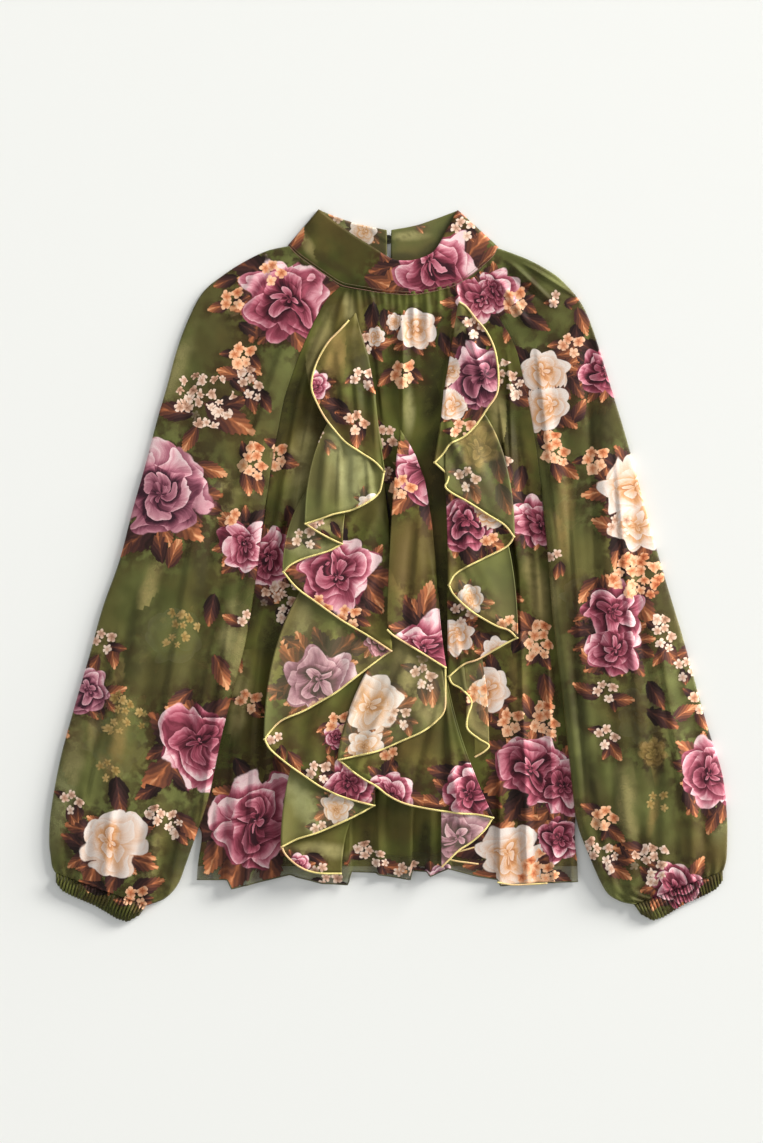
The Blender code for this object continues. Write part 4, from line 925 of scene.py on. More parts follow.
LEFT_SLEEVE_FOLDS = [
    (204, 470, 150, 800, 3, 22, 2.2), (234, 590, 196, 860, 3, 16, 2), (122, 610, 84, 840, 3, 18, 2),
    (300, 300, 214, 560, 8, 30, 2.2), (232, 560, 188, 780, 7, 26, 2.4), (150, 560, 104, 800, 10, 26, 2.6),
    (118, 760, 106, 880, 6, 12, 2), (160, 770, 148, 890, 6, 12, 2), (190, 790, 172, 880, 6, 8, 1.5),
    (85, 780, 80, 875, 5, 10, 1.6), (283, 256, 240, 320, 4, 9, 1.8), (308, 272, 280, 330, 4, 9, 1.8),
    (262, 262, 225, 330, 5, 9, 1.4),
]
RIGHT_SLEEVE_FOLDS = [
    (612, 420, 642, 800, 3, 20, 2.2), (568, 460, 590, 850, 3, 14, 2.2), (654, 610, 690, 860, 3, 16, 1.8),
    (534, 330, 560, 560, 3, 12, 1.6), (592, 360, 604, 720, 5, 30, 3.2), (556, 420, 578, 700, 12, 10, 1.8),
    (640, 560, 668, 820, 8, 26, 2.2), (504, 258, 560, 312, 5, 8, 2.4), (492, 272, 530, 330, 4, 8, 2),
    (520, 262, 580, 300, 4, 8, 1.6), (616, 760, 630, 890, 6, 14, 2), (660, 780, 662, 885, 6, 12, 2),
    (692, 790, 690, 872, 6, 10, 1.6), (590, 760, 612, 880, 6, 10, 1.5),
]


def edge_turn(inset):
    """How far a wall has left the middle of its edge fold: a quarter circle over the fold's reach."""
    return np.sqrt(1 - (1 - np.clip(inset / FOLD_REACH, 0, 1)) ** 2)


def bunched(t):
    """0 to 1 with finer steps towards both ends: half of 1 less the cosine."""
    return 0.5 - 0.5 * np.cos(np.pi * t)


def join_walls(walls):
    """The upper wall's columns, then the lower wall's from the same outer edge back."""
    return [np.concatenate([upper, lower[:, 1:]], axis=1) for upper, lower in zip(*walls)]


def sleeve_walls(sleeve):
    """x, y, z and cloth place of a sleeve: out along its upper wall and back along its lower wall.

    Height eases from each wall to the middle of the edge fold as a quarter circle does.
    """
    at = np.linspace(0, len(sleeve) - 1, SLEEVE_ROWS)
    s = spline(sleeve, at)
    inner, outer, puff = s[:, None, :2], s[:, None, 2:4], s[:, 4:5]
    width = np.linalg.norm(outer - inner, axis=-1)
    out = (outer - inner) / width[..., None]
    u = bunched(np.linspace(0, 1, SLEEVE_COLUMNS))[None]
    closed = (at >= UNDERARM)[:, None]
    lift = OVER_BODY * smooth(at - UNDERARM) * (1 - smooth((at - LOWERED) / 2))
    lift = np.where(closed, lift[:, None], 0.0)
    rise = BACK_NECK_RISE * np.clip(1 - at / BACK_RISE_SECTIONS, 0, 1)[:, None] ** 2
    middle = FRONT_LAYER / 2
    walls = []
    for lower in (False, True):
        d = width * (u[:, ::-1] if lower else u)
        if lower:
            z = FLOOR_LAYER + lift * (1 - smooth((d - LIFT_KEPT) / LOWER_FADE))
        else:
            arch = np.abs(np.sin(np.pi * d / width)) ** 0.5
            z = FRONT_LAYER + CLOSED_LOFT * closed + (puff + CLOSED_PUFF * closed) * arch
            z = z + lift * (1 - smooth((d - LIFT_KEPT) / UPPER_FADE))
        z = middle + (z - middle) * edge_turn(width - d)
        z = np.where(closed, middle + lift + (z - middle - lift) * edge_turn(d), z)
        p = inner + out * d[..., None]
        flat = outer + out * (width - d)[..., None] if lower else p  # the lower wall's cloth goes on outwards
        walls.append((p[..., 0], p[..., 1] - (rise * (1 - d / width) if lower else 0), z, flat))
    return (*join_walls(walls), int(np.argmax(at >= UNDERARM)))


def add_sleeve(name, sleeve, motifs, rows, folds, flip):
    """A sleeve with its creases, its folds and the gathers above the cuff on the upper wall."""
    x, y, z, cloth, first_closed = sleeve_walls(sleeve)
    upper = np.arange(x.shape[1]) < SLEEVE_COLUMNS
    proud = smooth((z - FRONT_LAYER + 0.5) / 1.5)
    share = bunched(2 * np.linspace(0, 1, x.shape[1]))
    section = np.linspace(0, len(sleeve) - 1, SLEEVE_ROWS)[:, None]
    near_cuff = smooth((section - CUFF_GATHERS_START) / (len(sleeve) - 1 - CUFF_GATHERS_START))
    gathers = np.sin(2 * np.pi * CUFF_GATHER_COUNT * share + 2 * np.sin(9 * share)) - 0.2
    relief = creases(x, y, rows) * SLEEVE_CREASE_SCALE + fold_relief(x, y, folds) * SLEEVE_FOLD_SCALE
    z = z + upper * proud * (relief + CUFF_GATHERS * near_cuff * gathers)
    piece = add_cloth(name + "_cloth", x, y, z, motifs, sleeve_cloth, "sheer_cloth", cloth, flip,
                      closed_from=first_closed)
    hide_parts(name)
    return piece


left_sleeve = add_sleeve("sleeve_left", LEFT_SLEEVE, LEFT_SLEEVE_MOTIFS, LEFT_SLEEVE_CREASES,
                         LEFT_SLEEVE_FOLDS, True)
right_sleeve = add_sleeve("sleeve_right", RIGHT_SLEEVE, RIGHT_SLEEVE_MOTIFS, RIGHT_SLEEVE_CREASES,
                          RIGHT_SLEEVE_FOLDS, False)

# ---- Cuffs -------------------------------------------------------------------------------------
# A narrow casing over elastic at the end of each sleeve, cut with the sleeve and puckered all round.
CUFF_DEPTHS = [  # share of the width across, and depth there
    (0, 11.5), (0.1, 21.6), (0.22, 22.2), (0.5, 17.4), (0.78, 16), (0.9, 14.5), (1, 9),
]
PUCKERS = 27
CUFF_ROWS, CUFF_COLUMNS = 22, 190
CUFF_LOFT, CUFF_ARCH, CUFF_MIDDLE = 3.9, 1.1, 2.0
CUFF_INSET, INNER_TAPER, OUTER_TAPER = 0.8, 3.0, 3.5


def add_cuff(name, sleeve, inward, ripple_height, motifs):
    """A flattened tube: across each wall by share, down by depth, rippled by a bent sine."""
    inner, outer = sleeve[-1, :2], sleeve[-1, 2:4]
    width = np.linalg.norm(outer - inner)
    along = (outer - inner) / width
    down = np.array([along[1], -along[0]]) * inward
    depth = np.linspace(0, 1, CUFF_ROWS)[:, None]
    share = bunched(np.linspace(0, 1, CUFF_COLUMNS))[None]
    walls = []
    for lower in (False, True):
        t = share[:, ::-1] if lower else share
        first, last = CUFF_INSET + INNER_TAPER * depth, width - CUFF_INSET - OUTER_TAPER * depth
        drop = np.interp(t, *np.transpose(CUFF_DEPTHS))
        wobble = 0.5 * np.sin(2 * np.pi * PUCKERS * t + 1.0) * depth
        place = inner + along * (first + (last - first) * t)[..., None]
        place = place + down * ((drop + wobble) * depth + 0.2)[..., None]
        ripple = np.abs(np.sin(np.pi * PUCKERS * (t + 0.012 * np.sin(9 * t)))) ** 0.7
        ripple = ripple_height * ripple * np.sin(np.pi * np.clip(depth, 0.06, 0.92)) ** 0.6
        high = CUFF_LOFT + CUFF_ARCH * np.sin(np.pi * depth) ** 0.5 + ripple
        z = np.broadcast_to(FLOOR_LAYER, high.shape) if lower else high
        z = CUFF_MIDDLE + (z - CUFF_MIDDLE) * edge_turn(np.minimum(t, 1 - t) * width)
        walls.append((place[..., 0], place[..., 1], z))
    material = printed_cloth(name + "_chiffon", "#73763b", "#4d5020", alpha=0.8, faded=0.0,
                             pucker_turn=20 * inward)
    piece = add_cloth(name + "_cloth", *join_walls(walls), motifs, [material, sleeve_cloth[1]], "sheer_cloth",
                      flip=inward > 0, closed_from=0)
    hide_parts(name)
    return piece


left_cuff = add_cuff("cuff_left", LEFT_SLEEVE, 1, 2.6, LEFT_SLEEVE_MOTIFS)
right_cuff = add_cuff("cuff_right", RIGHT_SLEEVE, -1, 1.3, RIGHT_SLEEVE_MOTIFS)

# ---- Collar ------------------------------------------------------------------------------------
# A doubled stand band sewn to the neck seam, lying flat with its front slumped and its back behind it.
# It opens at the centre back, where the two ends meet.
COLLAR = [  # x, y and z on the seam, and then at the top edge, once round from the centre back
    (387.2, 263, 0.6, 386.8, 230.5, 4.6), (362, 262.5, 0.6, 372, 227.5, 3.4),
    (340, 260, 0.6, 353.5, 223, 1.8), (315, 251, 0.6, 333.5, 216, 1), (290.2, 246.3, 0.8, 319.8, 210.2, 0.9),
    (289, 246, 2.1, 319.3, 209.8, 2.2), (290, 246.8, 3.5, 319.8, 210.4, 3.6),
    (298.5, 255.4, 3.9, 330.5, 219, 5), (310.5, 264.3, 4, 340, 226, 6), (326, 275, 4, 353.5, 235.5, 7),
    (341, 284.4, 4.2, 367, 244, 7.8), (353.5, 287.7, 4.4, 378, 251, 8.4), (366, 289.7, 4.5, 387, 257, 8.8),
    (379.5, 292.2, 4.5, 395, 260.5, 9), (395, 293.6, 4.6, 403, 261.4, 9.2), (410, 294.4, 4.6, 412, 261, 9.2),
    (425.5, 292.6, 4.5, 423, 258, 9), (441, 289, 4.4, 433, 252.5, 8.5), (456, 284.4, 4.2, 440, 243, 7.6),
    (471, 275, 4, 444.5, 234, 6.4), (483.5, 264.4, 4, 449.5, 225, 5.2), (493, 255.4, 3.9, 453.5, 217.5, 4.4),
    (496.6, 248.6, 3.5, 456.5, 211.4, 3.6), (497.5, 248, 2.1, 457, 210.8, 2.2),
    (496.3, 247.8, 0.8, 456.5, 211.2, 0.9), (470, 254, 0.6, 433, 220, 1.8), (440, 261, 0.6, 415, 226, 3.4),
    (390.6, 263, 0.6, 391.2, 230.5, 4.6),
]
COLLAR_MOTIFS = {  # each row begins with its patch: 0 is the front, 1 and 2 the back's two halves
    # Its washes are painted shade and painted highlight: on the back's inside, light by the top edge and dark
    # below it, and a sheen on the front's left.
    "wash": [
        (0, 330, 262, 14, 30, 0.1), (0, 304, 240, 14, 60, 0.74), (1, 380, 244, 12, 80, 0),
        (1, 352, 232, 12, 30, 0.9), (2, 410, 236, 11, 0, 0.8), (2, 405, 257, 13, 0, 0),
        (2, 430, 250, 13, 330, 0), (2, 447, 232, 14, 300, 0),
    ],
    "bloom": [(0, 434, 268, 38, 30, 0.03), (1, 364, 231, 13, 30, 1), (2, 380, 190, 8, 0, 1)],
    "spray": [
        (0, 463, 228, 14, 30, 0.9), (0, 470, 215, 9, 30, 0.2), (1, 345, 218, 9, 30, 1),
        (2, 416, 224, 6, 30, 1),
    ],
    "leaf": [
        (0, 392, 272, 22, 60, 0.95), (0, 382, 284, 20, 20, 0.95), (0, 296, 240, 16, 300, 0.95),
        (0, 490, 256, 18, 320, 0.8), (1, 356, 240, 9, 80, 0.95), (2, 380, 180, 8, 0, 0.5),
    ],
}


def on_patches(motifs):
    """The same motifs moved a metre on for each patch number."""
    return {kind: [(x + PATCH_STEP * patch, *rest) for patch, x, *rest in rows]
            for kind, rows in motifs.items()}


def curve_points(rows, count):
    """Points along a table's curve, evenly spaced by length in plan."""
    fine = spline(rows, np.linspace(0, len(rows) - 1, 30 * len(rows)))
    length = run_along(fine)
    want = np.linspace(0, length[-1], count)
    return np.stack([np.interp(want, length, fine[:, k]) for k in range(fine.shape[1])], -1)


COLLAR_COLUMNS, COLLAR_ROWS = 240, 22
COLLAR_BULGE, STANDING = 0.9, 3.2  # how far the band bulges where it is higher than this
SEAM_RADIUS, STITCH_RADIUS, SEAM_POINTS = 0.32, 0.16, 220
SEAM_PLACE, STITCH_PLACE = (0, 0.9, 1.5), (0, -2.2, 1.9)  # from the band's lower edge
LEFT_END, RIGHT_START = 4.5, 23.5  # the table's rows where the back's halves begin
band = curve_points([(*point, row) for row, point in enumerate(COLLAR)], COLLAR_COLUMNS)
band_at = band[:, 6]
up = np.linspace(0, 1, COLLAR_ROWS)[None, :, None]
points = band[:, None, :3] * (1 - up) + band[:, None, 3:6] * up
bulge = COLLAR_BULGE * np.sin(np.pi * up[..., 0]) ** 0.5 * (points[..., 2] > STANDING)
collar_cloth = both_sides("collar_chiffon", "#5a5d28", "#383b15", alpha=1.0, faded=0.12, wrong="_inside")
halves = np.where(band_at < LEFT_END, 1, np.where(band_at > RIGHT_START, 2, 0))
collar = add_cloth("collar_cloth", points[..., 0], points[..., 1], points[..., 2] + bulge,
                   on_patches(COLLAR_MOTIFS), collar_cloth, "printed_cloth", patch=halves[:-1])
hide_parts("collar")

front_seam = np.array(COLLAR[6:23])[:, :3]  # the rows between the band's two side folds
neck_seam = add_tube("neck_seam", curve_points(front_seam + SEAM_PLACE, SEAM_POINTS), SEAM_RADIUS,
                     thread_finish("neck_seam_thread", "#8a6048", "#6b4a35", "#4a3824"))
stitches = thread_finish("collar_stitches", "#7d6a44", "#8a5a44", "#33301a")
collar_stitching = add_tube("collar_stitching", curve_points(front_seam + STITCH_PLACE, SEAM_POINTS),
                            STITCH_RADIUS, stitches)

# ---- Ruffles -----------------------------------------------------------------------------------
# Three flounces cut on the curve, sewn to the front along their inner edges and left to cascade. Each
# doubles back on itself at its turns, and its free edge is overlocked in pale yellow thread.
Column = namedtuple("Column", "root_y edge_x edge_y turn", defaults=[0])
LEFT_ROOTS = [  # y and x along the line where it is sewn on
    (309, 358), (327, 362), (355, 370), (416, 378), (446, 383), (520, 389), (600, 391), (650, 391),
    (740, 386), (860, 372),
]
LEFT_RUFFLE = [
    (313, 349, 321), (319, 340, 331), (325, 330, 341), (330, 322, 353), (336, 316, 366), (342, 312.5, 378),
    (348, 312, 390), (353, 317, 403), (359, 325, 418), (365, 335, 431), (371, 346, 443), (376, 360, 452.5),
    (382, 374.5, 462), (388, 384, 472, 1), (388, 382, 483), (388, 379, 493), (388, 369.5, 501.5),
    (388, 353, 510), (388, 334, 514.5), (388, 321.5, 519), (388, 306, 524, 1), (407, 316.5, 531),
    (427, 330, 538.5), (446, 342, 544, 1), (446, 329, 551), (446, 304, 558.7), (446, 291, 565),
    (446, 284, 572, 1), (462, 297.5, 588), (478, 316.5, 602), (494, 342, 620), (510, 367.5, 635),
    (526, 391, 650.5, 1), (526, 380, 658), (526, 355, 677), (526, 337, 691), (526, 322, 700), (526, 304, 710),
    (526, 283, 719), (526, 272, 729), (526, 265.6, 738, 1), (549, 272, 749), (571, 290, 764), (594, 310, 778),
    (617, 324, 787), (639, 346, 796.5), (662, 374, 804, 1), (662, 360, 812), (662, 339, 822), (662, 318, 831),
    (662, 298.6, 837), (662, 282.4, 845, 1), (693, 287, 854), (724, 300, 865), (754, 316, 871),
    (785, 342, 872),
]
CENTRE_ROOTS = [
    (428, 402), (440, 410), (455, 418), (480, 427), (520, 433), (560, 436), (600, 438), (652, 444),
    (840, 444),
]
CENTRE_RUFFLE = [
    (430, 387, 629), (470, 392, 634), (510, 399.5, 639), (550, 418.6, 650.5), (590, 445, 667, 1),
    (590, 445, 690), (590, 444, 709), (590, 436, 720), (590, 422, 730.5), (590, 401, 740), (590, 380, 749),
    (590, 360, 754), (590, 339, 758.6, 1), (597, 353, 770), (604, 364.5, 778), (611, 376, 784.5),
    (618, 388, 793.7), (624, 402.4, 801), (631, 420, 805.6), (638, 454, 811), (645, 478, 813),
    (652, 492, 816, 1), (652, 484, 828), (652, 471, 840), (652, 458.6, 848), (652, 449, 857), (652, 441, 865),
]
RIGHT_ROOTS = [
    (304, 455), (366, 447), (416, 441), (449, 441), (500, 445), (560, 447), (705, 450),
]
RIGHT_RUFFLE = [
    (305, 459, 303), (311, 466.5, 308), (317, 476, 320), (324, 485.6, 331.5), (330, 492.5, 345),
    (336, 496, 358), (342, 498, 376), (349, 496.5, 394), (355, 487, 409), (361, 476, 425), (367, 464, 437),
    (374, 450, 444.5), (380, 443, 454), (386, 434.5, 463, 1), (386, 441, 469), (386, 448, 476),
    (386, 447, 482), (386, 445, 487), (386, 451, 493), (386, 467, 502), (386, 489, 516), (386, 504, 525.5),
    (386, 513, 537, 1), (398, 505.5, 547), (410, 482, 559), (422, 466, 567), (434, 454, 575),
    (446, 448.5, 585, 1), (446, 454, 595), (446, 471, 611), (446, 494.6, 625), (446, 508, 630),
    (446, 516, 637.5, 1), (475, 507, 642), (504, 493, 650), (532, 477, 659), (561, 463, 664),
    (590, 448.5, 676, 1), (590, 452, 683), (590, 462, 689), (590, 471, 701), (590, 467, 716), (590, 467, 728),
    (590, 478, 737.5), (590, 488, 744), (590, 484, 750), (590, 474, 756),
]
RUFFLE_CLEAR, RUFFLE_RISE = 1.65, 0.058  # height over the front, and more for each millimetre of drop
SIDE_CURL, CENTRE_CURL, CENTRE_LIFT = 2.0, 1.5, 1.9
TURN_HALF, FAN_RADIUS = 0.85, 3.0  # half the height of a turn, and the spread of a fan's roots
TURN_STEPS = 7
RUFFLE_STEPS, RUFFLE_ALONG = 9, 34  # columns to a row of the table, and rows from root to edge
FLUTE_HEIGHT, BROAD_FLUTE, LIFTED_EDGE, ROOT_RISE = 0.7, 0.85, 0.9, 2.4
FLUTE_WAVE, FLUTE_DRIFT, BROAD_WAVE, BROAD_DRIFT = 5.3, 31, 8.5, 43
RUFFLE_RELIEF, RUFFLE_LIFT, RELIEF_START, RELIEF_EASE = 0.7, 0.7, 0.1, 0.3
EDGE_RADIUS, SHORT_EDGE = 0.95, 0.85  # of the overlocked edge, and the share of it on the short lengths

# Each patch between two turns of a ruffle shows its own piece of the print: its number, then the motif.
# In the ruffles' washes, tone near 1 is painted highlight where the satin side catches the light, and tone
# near 0 is painted shade.
LEFT_RUFFLE_MOTIFS = {
    "wash": [
        (0, 334, 362, 24, 100, 0.5), (0, 360, 368, 28, 80, 0), (1, 352, 474, 46, 80, 1),
        (2, 325, 528, 20, 0, 0.8), (3, 310, 550, 24, 20, 0.9), (4, 310, 600, 24, 60, 0.1),
        (5, 298, 655, 26, 100, 0.8), (6, 300, 750, 24, 60, 0.1), (7, 302, 800, 26, 60, 1),
        (8, 320, 850, 20, 0, 0.8),
    ],
    "bloom": [
        (0, 314, 386, 15, 40, 0.05), (1, 372, 505, 11, 30, 1), (2, 330, 500, 9, 0, 0.5),
        (3, 340, 512, 15, 30, 0.1), (4, 338, 572, 34, 60, 0.03), (5, 322, 682, 33, 120, 0.5),
        (5, 380, 640, 14, 20, 0.3), (6, 350, 784, 24, 80, 0.08), (6, 338, 735, 12, 30, 0.05),
        (7, 338, 806, 14, 60, 0.9), (8, 298, 864, 11, 30, 0.04),
    ],
    "spray": [
        (0, 362, 378, 11, 20, 0.8), (0, 356, 422, 15, 60, 0.5), (1, 322, 440, 9, 30, 1),
        (2, 320, 528, 10, 60, 1), (3, 304, 538, 13, 10, 1), (4, 318, 606, 12, 60, 0.1),
        (4, 348, 616, 14, 20, 0.2), (5, 322, 708, 9, 60, 0.4), (6, 338, 722, 12, 10, 0.1),
        (6, 278, 742, 9, 60, 0.9), (6, 318, 770, 14, 20, 0.9), (7, 322, 830, 13, 60, 1),
        (8, 322, 872, 9, 60, 1),
    ],
    "leaf": [
        (0, 334, 406, 17, 200, 0.1), (0, 342, 418, 15, 30, 0.15), (1, 380, 510, 14, 100, 0.3),
        (2, 336, 530, 10, 60, 0.3), (3, 352, 530, 14, 280, 0.35), (4, 372, 604, 16, 40, 0.15),
        (4, 376, 556, 14, 300, 0.6), (5, 296, 645, 17, 30, 0.65), (5, 362, 646, 18, 340, 0.7),
        (5, 280, 690, 18, 190, 0.2), (5, 302, 704, 18, 140, 0.4), (6, 296, 762, 15, 60, 0.9),
        (6, 375, 790, 14, 60, 0.3), (7, 330, 812, 15, 70, 0.6), (8, 318, 858, 12, 30, 0.2),
    ],
}
CENTRE_RUFFLE_MOTIFS = {
    "wash": [
        (0, 404, 560, 22, 95, 0.2), (0, 412, 610, 22, 60, 0.45), (1, 425, 700, 36, 60, 0.75),
        (2, 420, 780, 34, 30, 0.05), (3, 460, 850, 24, 0, 0.2),
    ],
    "bloom": [
        (0, 430, 648, 30, 40, 0.04), (0, 426, 470, 30, 30, 0.05), (1, 370, 702, 28, 60, 1),
        (1, 366, 744, 16, 20, 0.9), (2, 390, 794, 21, 60, 0.06), (2, 472, 790, 26, 10, 0.1),
        (3, 456, 836, 33, 60, 0.5),
    ],
    "spray": [
        (0, 402, 486, 13, 60, 0.05), (1, 422, 674, 17, 60, 1), (1, 398, 716, 12, 20, 0.9),
        (2, 392, 757, 9, 60, 0.2), (3, 436, 870, 9, 0, 1),
    ],
    "leaf": [
        (0, 426, 600, 22, 285, 0.95), (0, 416, 612, 18, 250, 0.6), (1, 396, 690, 14, 30, 0.4),
        (2, 456, 788, 18, 280, 0.5), (2, 430, 800, 15, 200, 0.85), (2, 470, 770, 16, 40, 0.3),
        (3, 424, 840, 17, 300, 0.5), (3, 438, 856, 16, 100, 0.3),
    ],
}
RIGHT_RUFFLE_MOTIFS = {
    "wash": [
        (0, 462, 330, 20, 60, 0.85), (1, 480, 450, 17, 90, 0.5), (1, 490, 500, 22, 60, 0.05),
        (2, 470, 550, 20, 0, 0.7), (3, 468, 596, 22, 40, 0.45), (4, 480, 650, 18, 0, 0.2),
        (5, 475, 720, 20, 60, 0.7),
    ],
    "bloom": [
        (0, 480, 378, 32, 60, 0.27), (0, 450, 372, 15, 20, 1), (0, 452, 404, 15, 80, 0.97),
        (1, 478, 446, 22, 0, 2), (2, 466, 526, 25, 60, 0.15), (2, 486, 514, 17, 20, 0.97),
        (3, 470, 600, 12, 60, 0.9), (4, 496, 652, 15, 30, 0.97), (4, 456, 636, 16, 0, 0.95),
        (5, 492, 690, 16, 60, 0.9),
    ],
    "spray": [
        (0, 474, 326, 14, 60, 0.8), (0, 462, 430, 13, 20, 0.4), (1, 466, 478, 14, 60, 0.9),
        (2, 492, 544, 10, 60, 0.2), (3, 508, 626, 13, 60, 0.3), (4, 462, 612, 12, 60, 0.9),
        (5, 478, 694, 13, 10, 0.1),
    ],
    "leaf": [
        (0, 460, 345, 14, 100, 0.15), (0, 470, 410, 14, 130, 0.3), (1, 498, 468, 18, 80, 0.2),
        (1, 504, 500, 18, 70, 0.3), (1, 470, 486, 13, 30, 0.5), (2, 450, 505, 16, 30, 0.3),
        (3, 480, 600, 14, 40, 0.25), (4, 478, 640, 14, 60, 0.4), (5, 484, 712, 15, 70, 0.7),
    ],
}


# The creases and the crisp folds of the left, the centre and the right ruffle in turn. They are the same for
# every layer at a place, so that none is pressed into another.
RUFFLE_CREASES = [
    (345, 325, 352, 440, 3, 6, -2), (332, 345, 338, 420, 3, 5, 1.6), (362, 340, 372, 440, 2, 5, 1.6),
    (330, 425, 322, 518, 0, 5, -2.4), (345, 430, 343, 515, 0, 4, 2.2), (358, 440, 360, 510, 0, 5, -2),
    (372, 450, 376, 505, 0, 4, 1.6), (385, 500, 315, 590, 6, 6, 1.8), (388, 520, 345, 612, 5, 6, -1.8),
    (390, 560, 372, 632, 3, 5, 1.5), (380, 470, 292, 566, 8, 6, -1.4), (388, 600, 330, 690, 6, 6, 1.8),
    (386, 560, 300, 690, 10, 7, -1.8), (388, 640, 360, 672, 3, 5, -1.4), (384, 520, 276, 700, 14, 7, 1.4),
    (384, 640, 300, 764, 8, 7, -1.8), (386, 680, 330, 784, 6, 6, 1.8), (388, 720, 365, 796, 4, 5, -1.5),
    (386, 720, 310, 826, 6, 6, 1.6), (388, 740, 345, 815, 4, 5, -1.4), (384, 780, 310, 862, 4, 6, -1.4),
    (430, 470, 418, 640, 2, 6, -2.2), (415, 500, 404, 640, 2, 5, 2), (438, 520, 436, 655, 0, 5, 1.8),
    (436, 640, 380, 740, 8, 8, -2), (432, 600, 352, 735, 10, 8, 2), (440, 660, 420, 728, 4, 6, 1.6),
    (440, 690, 400, 795, 4, 8, -2.2), (445, 700, 440, 805, -2, 7, 2.2), (448, 700, 470, 808, -4, 7, -2),
    (448, 760, 466, 835, -2, 6, -1.6), (446, 780, 452, 850, 0, 5, 1.6), (458, 320, 488, 400, -4, 6, -2),
    (454, 330, 470, 430, -4, 5, 1.8), (462, 312, 494, 370, -4, 5, 1.5), (446, 430, 500, 528, -8, 7, -2),
    (444, 450, 476, 510, -4, 6, 1.8), (448, 400, 506, 518, -10, 6, 1.6), (446, 480, 488, 556, -5, 7, -1.8),
    (446, 500, 462, 568, -2, 6, 1.8), (448, 520, 500, 626, -6, 7, -1.8), (447, 540, 478, 612, -4, 6, 1.8),
    (448, 580, 492, 648, -4, 6, -1.6), (448, 590, 466, 664, -2, 5, 1.6), (449, 620, 464, 700, -2, 5, -1.5),
    (452, 640, 472, 735, -2, 5, 1.5),
]
RUFFLE_FOLDS = [
    (340, 440, 338, 516, 2, 12, 1.8), (352, 440, 352, 514, 2, 10, 1.6), (366, 448, 370, 508, 2, 8, 1.4),
    (326, 432, 318, 516, 2, 10, 1.6), (350, 330, 360, 440, 2, 10, 1.8), (336, 345, 344, 425, 2, 9, 1.4),
    (366, 340, 376, 455, 2, 8, 1.6), (384, 500, 330, 600, 3, 12, 1.6), (388, 540, 356, 622, 3, 9, 1.6),
    (380, 480, 304, 575, 3, 12, 1.4), (386, 600, 318, 700, 3, 14, 1.6), (384, 560, 292, 695, 3, 12, 1.6),
    (388, 640, 348, 684, 3, 10, 1.3), (384, 660, 312, 776, 3, 14, 1.8), (386, 700, 344, 792, 3, 10, 1.6),
    (382, 630, 286, 755, 3, 12, 1.4), (386, 730, 300, 832, 3, 12, 1.5), (386, 760, 336, 866, 3, 12, 1.5),
    (424, 470, 408, 640, 2, 12, 2), (436, 500, 428, 650, 2, 9, 1.8), (438, 640, 392, 738, 3, 16, 1.8),
    (440, 660, 416, 728, 3, 10, 1.6), (434, 600, 362, 748, 3, 14, 1.8), (442, 690, 412, 800, 3, 18, 2.2),
    (446, 700, 452, 808, 2, 12, 2), (438, 660, 382, 785, 3, 14, 1.8), (448, 760, 462, 840, 2, 8, 1.5),
    (455, 320, 478, 415, 2, 9, 1.8), (460, 312, 488, 395, 2, 8, 1.6), (446, 430, 486, 516, 2, 9, 1.8),
    (445, 420, 470, 508, 2, 8, 1.5), (446, 490, 474, 562, 2, 8, 1.6), (448, 530, 490, 620, 2, 8, 1.6),
    (449, 600, 472, 735, 2, 6, 1.3),
]


def ruffle_columns(table, starts_folded):
    """Rows of root height, edge, layer offset, outward push, hang, bend and patch, rounded at each turn.

    Patches whose roots walk down rise through four half turns; a fan keeps one root and one layer.
    """
    table = [Column(*row) for row in table]
    turns = [i for i, c in enumerate(table) if c.turn]
    stops = [0] + turns + [len(table) - 1]
    columns = []
    for first, last in zip(stops, stops[1:]):
        part = np.array([(c.root_y, c.edge_x, c.edge_y) for c in table[first:last + 1]])
        count = max(last - first, 2) * RUFFLE_STEPS + 1
        at = np.linspace(0, last - first, count)
        fans_out = part[0, 0] == part[-1, 0]
        start, stop = (-1, -1) if fans_out else (-3, 1)
        share = at / at[-1]
        offset = TURN_HALF * (start + (stop - start) * share)
        hang = 1 - share if fans_out else share
        bend = share if first == 0 and not starts_folded else np.ones_like(share)
        flat = np.stack([offset, 0 * share, hang, bend, 0 * share + stops.index(first)], -1)
        columns.append(np.hstack([spline(part, at), flat]))
        if last in turns:
            beyond = np.sign(table[last].edge_x - 0.5 * (table[last - 1].edge_x + table[last + 1].edge_x))
            round_at = np.linspace(0, np.pi, TURN_STEPS + 2)[1:-1]
            middle = -2 if fans_out else 0
            turn = np.repeat([[*part[-1], 0, 0, hang[-1], 1.0, stops.index(first)]], TURN_STEPS, axis=0)
            turn[:, 3] = TURN_HALF * (middle + np.cos(round_at))
            turn[:, 4] = beyond * np.sin(round_at)
            columns.append(turn)
    return np.vstack(columns)


